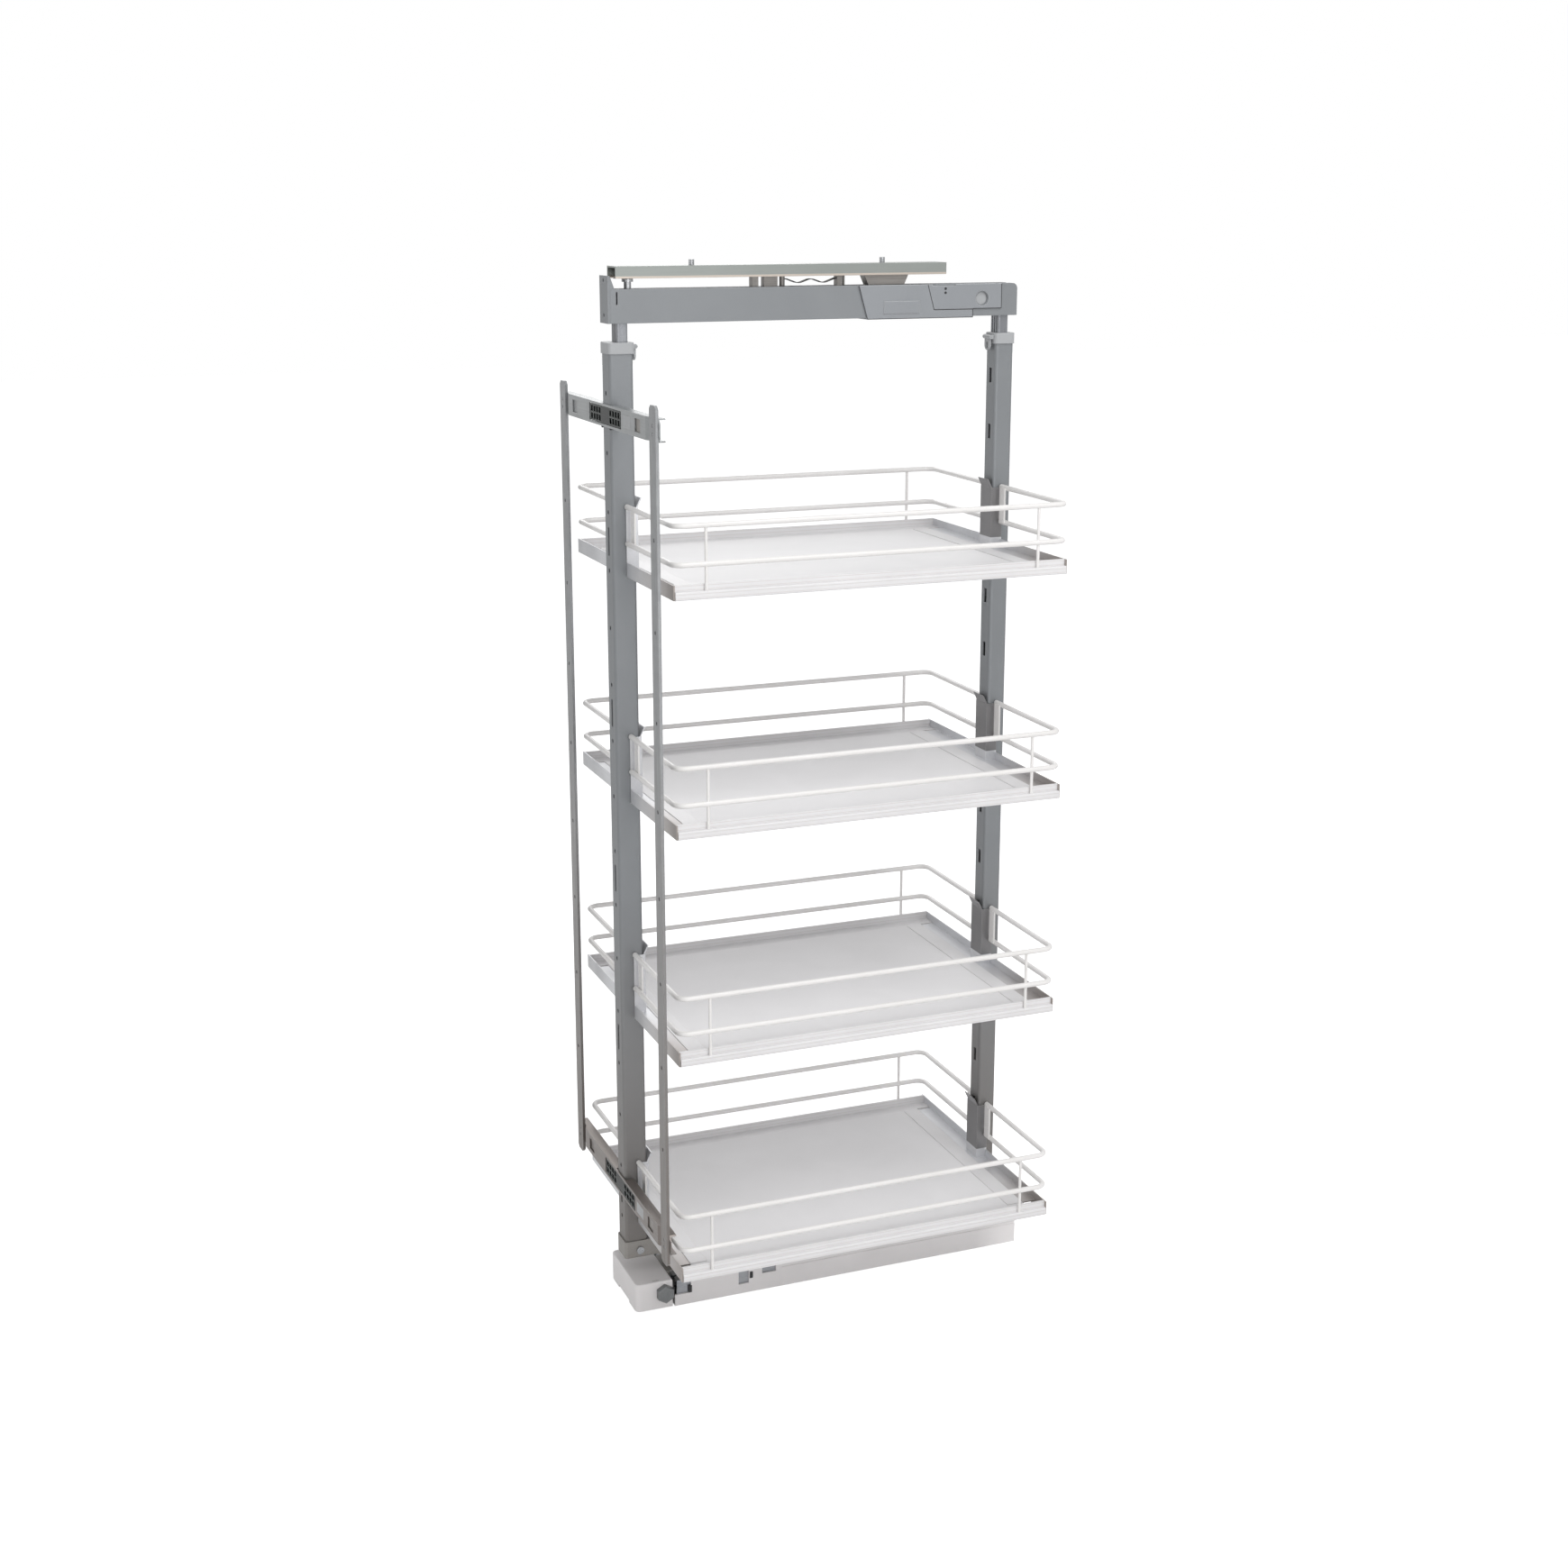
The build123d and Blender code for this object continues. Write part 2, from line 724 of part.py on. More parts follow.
def post_tube(width, depth, middle, bottom, screw_y, screw_z):
    """A rounded tube with screw holes near its foot."""
    with BuildPart() as tube:
        with BuildSketch(Plane.XY.offset(bottom)):
            with Locations((0, middle)):
                RectangleRounded(width, depth, post_corner)
                inside = (width - 2 * post_wall, depth - 2 * post_wall)
                RectangleRounded(*inside, post_corner - post_wall, mode=Mode.SUBTRACT)
        extrude(amount=post_top - bottom)
        with BuildSketch(Plane.YZ):
            with Locations((screw_y, screw_z)):
                Circle(foot_screw_radius + running)
        extrude(amount=width / 2 + overrun, both=True, mode=Mode.SUBTRACT)
    return tube.part


front_tube = post_tube(
    front_post_width,
    front_post_depth,
    front_post_middle,
    front_post_bottom,
    front_line + foot_screw_place,
    foot_screw_height,
)
rear_tube = post_tube(
    rear_post_width,
    rear_post_depth,
    rear_post_middle,
    rear_post_bottom,
    rear_post_middle,
    rear_screw_height,
)

# Front post: hook slots towards the trays, round holes and long slots towards the door
with BuildPart() as front_post:
    add(front_tube)
    with BuildSketch(section_from(front_post_back - post_wall - overrun / 2)):
        with Locations((0, hook_slot_middle + hole_span / 2)):
            with GridLocations(0, hole_spacing, 1, hole_count):
                Rectangle(hook_slot_width, hook_slot_height)
    extrude(amount=post_wall + overrun, mode=Mode.SUBTRACT)
    with BuildSketch(section_from(front_post_front - overrun / 2)):
        with Locations((0, first_hole + hole_span / 2)):
            with GridLocations(0, hole_spacing, 1, hole_count):
                Circle(hole_radius)
        with Locations((0, first_slot + (slot_count - 1) * slot_pitch / 2)):
            with GridLocations(0, slot_pitch, 1, slot_count):
                SlotOverall(slot_length, slot_width, rotation=90)
    extrude(amount=post_wall + overrun, mode=Mode.SUBTRACT)
front_post.part.label = "front_post"
export_step(front_post.part, "parts/front_post.step")

# Rear post: hook slots towards the trays only
with BuildPart() as rear_post:
    add(rear_tube)
    with BuildSketch(section_from(rear_post_front - overrun / 2)):
        with Locations((0, hook_slot_middle + hole_span / 2)):
            with GridLocations(0, hole_spacing, 1, hole_count):
                Rectangle(hook_slot_width, hook_slot_height)
    extrude(amount=post_wall + overrun, mode=Mode.SUBTRACT)
rear_post.part.label = "rear_post"
export_step(rear_post.part, "parts/rear_post.step")


lever_pivot_z = collar_top - lever_drop
lever_pivot_gap = lever_knuckle + slip


def post_collar(width, depth, middle, inner_y, inward):
    """A moulded cap on a post, bored for the inner post, with lugs on the inward side."""
    outer_depth = depth + 2 * collar_wall
    face = middle + inward * outer_depth / 2
    pivot = face + inward * lever_pivot_gap
    with BuildPart() as collar:
        with BuildSketch(Plane.XY.offset(collar_bottom)):
            with Locations((0, middle)):
                RectangleRounded(width + 2 * collar_wall, outer_depth, collar_corner)
        extrude(amount=collar_height)
        fillet(collar.faces().sort_by(Axis.Z)[-1].edges(), radius=collar_edge)
        with BuildSketch(Plane.XY.offset(collar_bottom - overrun)):
            with Locations((0, middle)):
                RectangleRounded(width + 2 * snug, depth + 2 * snug, post_corner)
        extrude(amount=collar_height - collar_cap + overrun, mode=Mode.SUBTRACT)
        for side in (-1, 1):
            with BuildSketch(Plane.YZ.offset(side * (lever_width / 2 + slip))):
                with Locations(((face + pivot) / 2, lever_pivot_z)):
                    Rectangle(lever_pivot_gap, 2 * lever_knuckle)
                with Locations((pivot, lever_pivot_z)):
                    Circle(lever_knuckle)
            extrude(amount=side * lever_lug)
        with BuildSketch(Plane.YZ):
            with Locations((pivot, lever_pivot_z)):
                Circle(lever_pin_radius + running)
        extrude(amount=width, both=True, mode=Mode.SUBTRACT)
        with BuildSketch(Plane.XY.offset(post_top - overrun)):
            with Locations((0, inner_y)):
                bore = (inner_width + 2 * inner_play, inner_depth + 2 * inner_play)
                RectangleRounded(*bore, inner_corner)
        extrude(amount=collar_cap + 2 * overrun, mode=Mode.SUBTRACT)
    return collar.part


def clamping_lever(depth, middle, inward):
    """A lever that hangs from its pin in the collar's lugs, with an oval window."""
    pivot = middle + inward * (depth / 2 + collar_wall + lever_pivot_gap)
    straight = lever_length - lever_width / 2
    with BuildPart() as lever:
        with BuildSketch(section_from(pivot - lever_thickness / 2)):
            with Locations((0, lever_pivot_z - straight / 2)):
                Rectangle(lever_width, straight)
            with Locations((0, lever_pivot_z - straight)):
                Circle(lever_width / 2)
                SlotOverall(lever_slot_length, lever_slot_width, rotation=90, mode=Mode.SUBTRACT)
        extrude(amount=lever_thickness)
        with BuildSketch(Plane.YZ):
            with Locations((pivot, lever_pivot_z)):
                Circle(lever_knuckle)
        extrude(amount=lever_width / 2, both=True)
        with BuildSketch(Plane.YZ):
            with Locations((pivot, lever_pivot_z)):
                Circle(lever_pin_radius)
        extrude(amount=lever_width / 2 + slip + lever_lug, both=True)
    return lever.part


front_collar = post_collar(front_post_width, front_post_depth, front_post_middle, front_inner_y, 1)
front_collar.label = "front_collar"
export_step(front_collar, "parts/front_collar.step")

rear_collar = post_collar(rear_post_width, rear_post_depth, rear_post_middle, rear_inner_y, -1)
rear_collar.label = "rear_collar"
export_step(rear_collar, "parts/rear_collar.step")

front_lever = clamping_lever(front_post_depth, front_post_middle, 1)
front_lever.label = "front_lever"
export_step(front_lever, "parts/front_lever.step")

rear_lever = clamping_lever(rear_post_depth, rear_post_middle, -1)
rear_lever.label = "rear_lever"
export_step(rear_lever, "parts/rear_lever.step")


def inner_post(place):
    """A grooved hollow bar that slides in a post and carries the top bar."""
    with BuildPart() as inner:
        with BuildSketch(Plane.XY.offset(inner_bottom)):
            with Locations((0, place)):
                RectangleRounded(inner_width, inner_depth, inner_corner)
                hollow = (inner_width - 2 * inner_wall, inner_depth - 2 * inner_wall)
                Rectangle(*hollow, mode=Mode.SUBTRACT)
                with GridLocations(inner_groove_pitch, inner_depth, inner_groove_count, 2):
                    Rectangle(inner_groove_width, 2 * inner_groove_depth, mode=Mode.SUBTRACT)
        extrude(amount=top_bar_floor - inner_bottom)
    return inner.part


front_inner_post = inner_post(front_inner_y)
front_inner_post.label = "front_inner_post"
export_step(front_inner_post, "parts/front_inner_post.step")

rear_inner_post = inner_post(rear_inner_y)
rear_inner_post.label = "rear_inner_post"
export_step(rear_inner_post, "parts/rear_inner_post.step")


# Glides under the inner posts, clear of the tray hooks inside the posts
hook_reach = post_wall + slip + hook_lip_thickness
with BuildPart() as inner_post_glides:
    front_glide_front = front_post_front + post_wall + slip
    front_glide_back = front_post_back - hook_reach - slip
    rear_glide_front = rear_post_front + hook_reach + slip
    rear_glide_back = rear_post_front + rear_post_depth - post_wall - slip
    glide_sizes = (
        (front_glide_front, front_glide_back, front_post_width),
        (rear_glide_front, rear_glide_back, rear_post_width),
    )
    for front, back, width in glide_sizes:
        with BuildSketch(Plane.XY.offset(inner_bottom - glide_height)):
            with Locations((0, (front + back) / 2)):
                glide_width = width - 2 * (post_wall + slip)
                RectangleRounded(glide_width, back - front, post_corner - post_wall)
        extrude(amount=glide_height)
inner_post_glides.part.label = "inner_post_glides"
export_step(inner_post_glides.part, "parts/inner_post_glides.step")


# Top bar: a channel open at the top, with sight holes near its rear end
with BuildPart() as top_bar:
    bar_length = top_bar_rear - top_bar_front
    with BuildSketch(Plane.YZ):
        with Locations((top_bar_front + bar_length / 2, top_bar_floor + top_bar_height / 2)):
            Rectangle(bar_length, top_bar_height)
    extrude(amount=bar_half_width, both=True)
    rear_top_edge = top_bar.edges().filter_by(Axis.X).group_by(Axis.Y)[-1].sort_by(Axis.Z)[-1]
    fillet(rear_top_edge, radius=top_bar_corner)
    with BuildSketch(section_from(top_bar_front - overrun)):
        with Locations((0, top_bar_floor + top_bar_height / 2)):
            inside = (2 * (bar_half_width - top_bar_wall), top_bar_height - 2 * top_bar_wall)
            Rectangle(*inside)
            Rectangle(top_slot_width, top_bar_height + overrun, align=(Align.CENTER, Align.MIN))
    extrude(amount=bar_length + 2 * overrun, mode=Mode.SUBTRACT)
    with BuildSketch(Plane.YZ):
        with Locations((top_bar_rear - sight_inset, top_bar_floor + sight_rise)):
            Circle(sight_radius)
        slit_y = top_bar_front + bar_slit_place
        with Locations((slit_y, top_bar_top - bar_slit_top - bar_slit_length / 2)):
            Rectangle(bar_slit_width, bar_slit_length)
    extrude(amount=bar_half_width + overrun, both=True, mode=Mode.SUBTRACT)
top_bar.part.label = "top_bar"
export_step(top_bar.part, "parts/top_bar.step")


# Bracket that closes the front of the bar and reaches up beside the rail
with BuildPart() as bar_end_bracket:
    with BuildSketch(Plane.YZ):
        with BuildLine():
            bracket_front = top_bar_front - end_plate
            bracket_top = top_bar_top + end_plate_rise
            Polyline(
                (bracket_front, top_bar_floor),
                (top_bar_front, top_bar_floor),
                (top_bar_front, top_bar_top),
                (top_bar_front + end_gusset, top_bar_top),
                (top_bar_front, bracket_top),
                (bracket_front, bracket_top),
                close=True,
            )
        make_face()
    extrude(amount=bar_half_width, both=True)
    with BuildSketch(section_from(bracket_front - overrun)):
        with Locations((0, bracket_top - end_hole_drop), (0, top_bar_floor + end_hole_rise)):
            Circle(end_hole_radius)
    extrude(amount=end_plate + end_gusset + 2 * overrun, mode=Mode.SUBTRACT)
bar_end_bracket.part.label = "bar_end_bracket"
export_step(bar_end_bracket.part, "parts/bar_end_bracket.step")


# Cover under the bar: a moulded shell with slanting ends
cover_floor = top_bar_floor - snug - cover_wall
panel_floor = cover_floor + panel_rise
cover_rear = top_bar_rear - cover_inset
cover_front = cover_rear - cover_length
panel_rear = top_bar_rear - panel_inset
panel_front = panel_rear - panel_length
with BuildPart() as damper_cover:
    with BuildSketch(Plane.YZ):
        with BuildLine():
            Polyline(
                (cover_front, top_bar_top),
                (cover_front + cover_slant, cover_floor),
                (cover_rear, cover_floor),
                (cover_rear, panel_floor - slip),
                (panel_front + panel_slant, panel_floor - slip),
                (panel_front, top_bar_top),
                close=True,
            )
        make_face()
    extrude(amount=bar_half_width + snug + cover_wall, both=True)
    with BuildSketch(section_from(cover_front - overrun)):
        with Locations((0, top_bar_floor - snug)):
            hollow_width = 2 * (bar_half_width + snug)
            Rectangle(hollow_width, top_bar_height + overrun, align=(Align.CENTER, Align.MIN))
    extrude(amount=cover_length + 2 * overrun, mode=Mode.SUBTRACT)
damper_cover.part.label = "damper_cover"
export_step(damper_cover.part, "parts/damper_cover.step")


# Panels on both sides of the bar's rear end
with BuildPart() as rear_panels:
    for side in (-1, 1):
        with BuildSketch(Plane.YZ.offset(side * bar_half_width)):
            with BuildLine():
                Polyline(
                    (panel_front + slip, top_bar_top),
                    (panel_front + panel_slant + slip, panel_floor),
                    (panel_rear, panel_floor),
                    (panel_rear, top_bar_top),
                    close=True,
                )
            make_face()
            notch_middle = panel_front + panel_notch_place + panel_notch_length / 2
            with Locations((notch_middle, top_bar_top)):
                Rectangle(panel_notch_length, 2 * panel_notch_depth, mode=Mode.SUBTRACT)
            with Locations((top_bar_rear - sight_inset, top_bar_floor + sight_rise)):
                Circle(sight_radius + sight_edge, mode=Mode.SUBTRACT)
        extrude(amount=side * panel_thickness)
rear_panels.part.label = "rear_panels"
export_step(rear_panels.part, "parts/rear_panels.step")


# Front guide pin: a nut under the bar's lips, a stem, a collar and the roller's spindle
guide_y = front_line + guide_place
flange_top = top_rail_floor - guide_flange_drop
guide_roller_floor = top_rail_floor + top_rail_lip + slip
guide_head_floor = guide_roller_floor + guide_roller_thickness + slip
with BuildPart() as front_guide_pin:
    with BuildSketch(Plane.XY.offset(lip_underside - guide_nut_height)):
        with Locations((0, guide_y)):
            Rectangle(2 * guide_nut_half_width, guide_nut_length)
    extrude(amount=guide_nut_height)
    with BuildSketch(Plane.XY.offset(lip_underside)):
        with Locations((0, guide_y)):
            Circle(guide_stem)
    extrude(amount=flange_top - lip_underside)
    with BuildSketch(Plane.XY.offset(flange_top - guide_flange_thickness)):
        with Locations((0, guide_y)):
            Circle(guide_flange)
    extrude(amount=guide_flange_thickness)
    with BuildSketch(Plane.XY.offset(flange_top)):
        with Locations((0, guide_y)):
            Circle(guide_spindle)
    extrude(amount=guide_head_floor - flange_top)
    with BuildSketch(Plane.XY.offset(guide_head_floor)):
        with Locations((0, guide_y)):
            Circle(guide_stem)
    extrude(amount=guide_spindle_head)
front_guide_pin.part.label = "front_guide_pin"
export_step(front_guide_pin.part, "parts/front_guide_pin.step")


def guide_roller(place, floor, thickness):
    """A roller on an upright spindle."""
    with BuildPart() as roller:
        with BuildSketch(Plane.XY.offset(floor)):
            with Locations((0, place)):
                Circle(guide_roller_radius)
                Circle(guide_spindle + running, mode=Mode.SUBTRACT)
        extrude(amount=thickness)
    return roller.part


front_guide_roller = guide_roller(guide_y, guide_roller_floor, guide_roller_thickness)
front_guide_roller.label = "front_guide_roller"
export_step(front_guide_roller, "parts/front_guide_roller.step")


# Top rail: a channel open at the bottom, screwed under the cabinet's top
stud_places = (
    rail_middle_y + stud_offset - stud_spacing / 2,
    rail_middle_y + stud_offset + stud_spacing / 2,
)
with BuildPart() as top_rail:
    with BuildSketch(section_from(rail_front)):
        with Locations((0, (top_rail_floor + top_rail_top) / 2)):
            Rectangle(top_rail_width, top_rail_height)
        with Locations((0, (top_rail_floor + top_rail_lip + rail_ceiling) / 2)):
            inside_width = top_rail_width - 2 * top_rail_wall
            inside_height = rail_ceiling - top_rail_floor - top_rail_lip
            Rectangle(inside_width, inside_height, mode=Mode.SUBTRACT)
        with Locations((0, top_rail_floor)):
            Rectangle(top_rail_slot, top_rail_height, mode=Mode.SUBTRACT)
    extrude(amount=rail_rear - rail_front)
    with BuildSketch(Plane.XY.offset(rail_ceiling - overrun)):
        with Locations((0, stud_places[0]), (0, stud_places[1])):
            Circle(stud_shoulder + running)
    extrude(amount=top_rail_wall + 2 * overrun, mode=Mode.SUBTRACT)
top_rail.part.label = "top_rail"
export_step(top_rail.part, "parts/top_rail.step")


# Screws up through the rail into the cabinet's top
with BuildPart() as rail_screws:
    for place in stud_places:
        with BuildSketch(Plane.XY.offset(rail_ceiling - stud_head_height)):
            with Locations((0, place)):
                Circle(stud_head)
        extrude(amount=stud_head_height)
        with BuildSketch(Plane.XY.offset(rail_ceiling)):
            with Locations((0, place)):
                Circle(stud_shoulder)
        extrude(amount=top_rail_wall)
        with BuildSketch(Plane.XY.offset(top_rail_top)):
            with Locations((0, place)):
                Circle(stud_radius)
        extrude(amount=stud_rise)
rail_screws.part.label = "rail_screws"
export_step(rail_screws.part, "parts/rail_screws.step")


# Half-travel carriage: a chassis in the rail with legs down to shoes in the bar
shoe_top = lip_underside - slip
stub_y = carriage_front + stub_place
carriage_roller_ys = [carriage_front + place for place in carriage_roller_places]
with BuildPart() as guide_carriage:
    with BuildSketch(Plane.XY.offset(chassis_floor)):
        with Locations((0, carriage_front + carriage_length / 2)):
            Rectangle(2 * carriage_half_width, carriage_length)
    extrude(amount=carriage_height)
    for start, length in zip(leg_starts, leg_lengths):
        with BuildSketch(Plane.XY.offset(shoe_top)):
            with Locations((0, carriage_front + start + length / 2)):
                Rectangle(2 * carriage_half_width, length)
        extrude(amount=chassis_floor - shoe_top)
        with BuildSketch(Plane.XY.offset(shoe_top - shoe_height)):
            with Locations((0, carriage_front + start + length / 2)):
                Rectangle(2 * shoe_half_width, length)
        extrude(amount=shoe_height)
    short_posts = ((stub_y, stub_radius), (carriage_front + peg_place, peg_radius))
    for place, radius in short_posts:
        with BuildSketch(Plane.XY.offset(top_bar_top + slip)):
            with Locations((0, place)):
                Circle(radius)
        extrude(amount=chassis_floor - top_bar_top - slip)
    for place in carriage_roller_ys:
        with BuildSketch(Plane.XY.offset(chassis_top)):
            with Locations((0, place)):
                Circle(guide_stem)
        extrude(amount=slip)
        with BuildSketch(Plane.XY.offset(chassis_top)):
            with Locations((0, place)):
                Circle(guide_spindle)
        extrude(amount=2 * slip + carriage_roller_thickness)
guide_carriage.part.label = "guide_carriage"
export_step(guide_carriage.part, "parts/guide_carriage.step")

carriage_roller_floor = chassis_top + 1.5 * slip
carriage_roller_front = guide_roller(
    carriage_roller_ys[0], carriage_roller_floor, carriage_roller_thickness
)
carriage_roller_front.label = "carriage_roller_front"
export_step(carriage_roller_front, "parts/carriage_roller_front.step")

carriage_roller_rear = guide_roller(
    carriage_roller_ys[1], carriage_roller_floor, carriage_roller_thickness
)
carriage_roller_rear.label = "carriage_roller_rear"
export_step(carriage_roller_rear, "parts/carriage_roller_rear.step")


# Rear glide: a tapered block under the chassis that slides on the bar
with BuildPart() as rear_glide:
    glide_front = carriage_front + rear_glide_start
    glide_back = glide_front + rear_glide_length
    with BuildSketch(Plane.YZ):
        with BuildLine():
            Polyline(
                (glide_front, top_rail_floor - slip),
                (glide_front + rear_glide_slant, top_bar_top + slip),
                (glide_back - rear_glide_slant, top_bar_top + slip),
                (glide_back, top_rail_floor - slip),
                close=True,
            )
        make_face()
    extrude(amount=rear_glide_half_width, both=True)
    with BuildSketch(Plane.XY.offset(top_rail_floor - slip)):
        with Locations((0, (glide_front + glide_back) / 2)):
            Rectangle(2 * carriage_half_width, rear_glide_length - 2 * rear_glide_neck)
    extrude(amount=chassis_floor - top_rail_floor + slip)
rear_glide.part.label = "rear_glide"
export_step(rear_glide.part, "parts/rear_glide.step")


# Wave spring between the stub and the last leg of the carriage
with BuildPart() as wave_spring:
    wave_start = stub_y + stub_radius + slip + wave_thickness / 2
    wave_end = carriage_front + leg_starts[2] - slip - wave_thickness / 2
    half_wave = (wave_end - wave_start) / (2 * wave_count)
    wave_middle = (top_bar_top + top_rail_floor) / 2
    crest = wave_middle + (wave_height - wave_thickness) / 2
    trough = wave_middle - (wave_height - wave_thickness) / 2
    turns = [
        (wave_start + index * half_wave, trough if index % 2 else crest)
        for index in range(2 * wave_count + 1)
    ]
    with BuildSketch(Plane.YZ):
        with BuildLine():
            FilletPolyline(*turns, radius=wave_bend)
            offset(amount=wave_thickness / 2)
        make_face()
    extrude(amount=wave_width / 2, both=True)
wave_spring.part.label = "wave_spring"
export_step(wave_spring.part, "parts/wave_spring.step")


# Door strips: flat bars with a row of screw holes, and holes for the crossbars' screws
with BuildPart() as door_strips:
    for side in (-1, 1):
        with BuildSketch(section_from(door_plane)):
            with Locations((side * strip_half_span, strip_middle)):
                Rectangle(strip_width, strip_length)
        extrude(amount=strip_thickness)
    chamfer(door_strips.edges().filter_by(Axis.Y), length=strip_chamfer)
    with BuildSketch(section_from(door_plane - overrun)):
        with Locations((0, strip_middle)):
            with GridLocations(2 * strip_half_span, strip_hole_pitch, 2, strip_hole_count):
                Circle(strip_hole_radius)
            with GridLocations(2 * strip_half_span, crossbar_spacing, 2, 2):
                with GridLocations(0, 2 * joint_screw_rise, 1, 2):
                    Circle(joint_screw_radius + running)
    extrude(amount=strip_thickness + 2 * overrun, mode=Mode.SUBTRACT)
door_strips.part.label = "door_strips"
export_step(door_strips.part, "parts/door_strips.step")


# Crossbars: folded channels that pass in front of the post and behind the strips
flange_back = door_plane + crossbar_flange
web_line = [
    (-crossbar_half_length, strip_back),
    (-joggle_end, strip_back),
    (-crossbar_straight, door_plane),
    (crossbar_straight, door_plane),
    (joggle_end, strip_back),
    (crossbar_half_length, strip_back),
]
web_back = [(x, y + sheet) for x, y in reversed(web_line)]
flange_corners = [(crossbar_half_length, flange_back), (-crossbar_half_length, flange_back)]
with BuildPart() as crossbars:
    for height in crossbar_heights:
        floor = height - crossbar_height / 2
        with BuildSketch(Plane.XY.offset(floor)):
            with BuildLine():
                Polyline(*web_line, *web_back, close=True)
            make_face()
        extrude(amount=crossbar_height)
        for flange_floor in (floor, floor + crossbar_height - sheet):
            with BuildSketch(Plane.XY.offset(flange_floor)):
                with BuildLine():
                    Polyline(*web_line, *flange_corners, close=True)
                make_face()
                with Locations((0, flange_back)):
                    gap_width = front_post_width + 2 * crossbar_relief
                    gap_depth = 2 * (crossbar_flange - sheet)
                    Rectangle(gap_width, gap_depth, mode=Mode.SUBTRACT)
            extrude(amount=sheet)
        with BuildSketch(section_from(door_plane - overrun)):
            with Locations((0, height)):
                Rectangle(2 * (adjuster_half_length + window_play), 2 * window_half_height)
                with GridLocations(2 * access_start + access_length, 0, 2, 1):
                    Rectangle(access_length, access_height)
                with GridLocations(2 * strip_half_span, 2 * joint_screw_rise, 2, 2):
                    Circle(joint_screw_radius + running)
                with GridLocations(2 * crossbar_half_length, crossbar_height, 2, 2):
                    corner_cut = crossbar_chamfer * 2**0.5
                    Rectangle(corner_cut, corner_cut, rotation=45)
            with Locations((-(slider_start + slider_length / 2), height)):
                Rectangle(slider_length, 2 * adjuster_half_height - 2 * slider_flange)
        extrude(amount=crossbar_flange + 2 * overrun, mode=Mode.SUBTRACT)
crossbars.part.label = "crossbars"
export_step(crossbars.part, "parts/crossbars.step")


# Screws that join the strips and the crossbars, with their heads behind
with BuildPart() as crossbar_screws:
    crossbar_back = strip_back + sheet
    shank_start = door_plane + joint_screw_sink
    screw_steps = (
        (shank_start, joint_screw_radius, crossbar_back - shank_start),
        (crossbar_back, joint_screw_head_radius, joint_screw_head),
    )
    for start, radius, length in screw_steps:
        with BuildSketch(section_from(start)):
            with Locations((0, strip_middle)):
                with GridLocations(2 * strip_half_span, crossbar_spacing, 2, 2):
                    with GridLocations(0, 2 * joint_screw_rise, 1, 2):
                        Circle(radius)
        extrude(amount=length)
crossbar_screws.part.label = "crossbar_screws"
export_step(crossbar_screws.part, "parts/crossbar_screws.step")


# Door adjusters: lattice blocks clipped round the front post, one in each crossbar
adjust_y = door_plane + adjust_setback
with BuildPart() as door_adjusters:
    block_front = door_plane + slip
    arm_start = front_post_width / 2
    arm_length = adjuster_half_length - arm_start
    arm_middle = arm_start + arm_length / 2
    pocket_pitch_x = (arm_length - pocket_rib) / pocket_columns
    pocket_pitch_z = (2 * adjuster_half_height - pocket_rib) / pocket_rows
    for height in crossbar_heights:
        with BuildSketch(section_from(block_front)):
            with Locations((0, height)):
                Rectangle(2 * adjuster_half_length, 2 * adjuster_half_height)
        extrude(amount=adjuster_depth)
        with BuildSketch(Plane.XY.offset(height - adjuster_half_height - overrun)):
            with Locations((0, front_post_front)):
                post_gap = (front_post_width, adjuster_depth + overrun)
                Rectangle(*post_gap, align=(Align.CENTER, Align.MIN))
        extrude(amount=2 * (adjuster_half_height + overrun), mode=Mode.SUBTRACT)
        with BuildSketch(section_from(block_front)):
            with Locations((-arm_middle, height), (arm_middle, height)):
                with GridLocations(pocket_pitch_x, pocket_pitch_z, pocket_columns, pocket_rows):
                    Rectangle(pocket_pitch_x - pocket_rib, pocket_pitch_z - pocket_rib)
        extrude(amount=pocket_depth, mode=Mode.SUBTRACT)
        bore_start = adjuster_half_length - adjust_thread - side_travel - slip
        with BuildSketch(Plane.YZ.offset(bore_start)):
            with Locations((adjust_y, height)):
                Circle(adjust_radius + running)
        extrude(amount=adjuster_half_length - bore_start + overrun, mode=Mode.SUBTRACT)
door_adjusters.part.label = "door_adjusters"
export_step(door_adjusters.part, "parts/door_adjusters.step")


# Slide blocks sit in the crossbars beside the adjusters and hold their screws
slider_end = slider_start + slider_length
with BuildPart() as slide_blocks:
    web_rear = door_plane + sheet
    for height in crossbar_heights:
        with BuildSketch(section_from(web_rear)):
            with Locations((-(slider_start + slider_length / 2), height)):
                Rectangle(slider_length + 2 * slider_flange, crossbar_height - 2 * sheet)
        extrude(amount=slider_depth)
        with BuildSketch(section_from(door_plane)):
            with Locations((-(slider_start + slider_length / 2), height)):
                Rectangle(slider_length, 2 * adjuster_half_height - 2 * slider_flange)
        extrude(amount=sheet)
        with BuildSketch(Plane.YZ.offset(slider_start - slider_flange - overrun)):
            with Locations((adjust_y, height)):
                Circle(adjust_radius + running)
        extrude(amount=slider_length + 2 * (slider_flange + overrun), mode=Mode.SUBTRACT)
slide_blocks.part.label = "slide_blocks"
export_step(slide_blocks.part, "parts/slide_blocks.step")


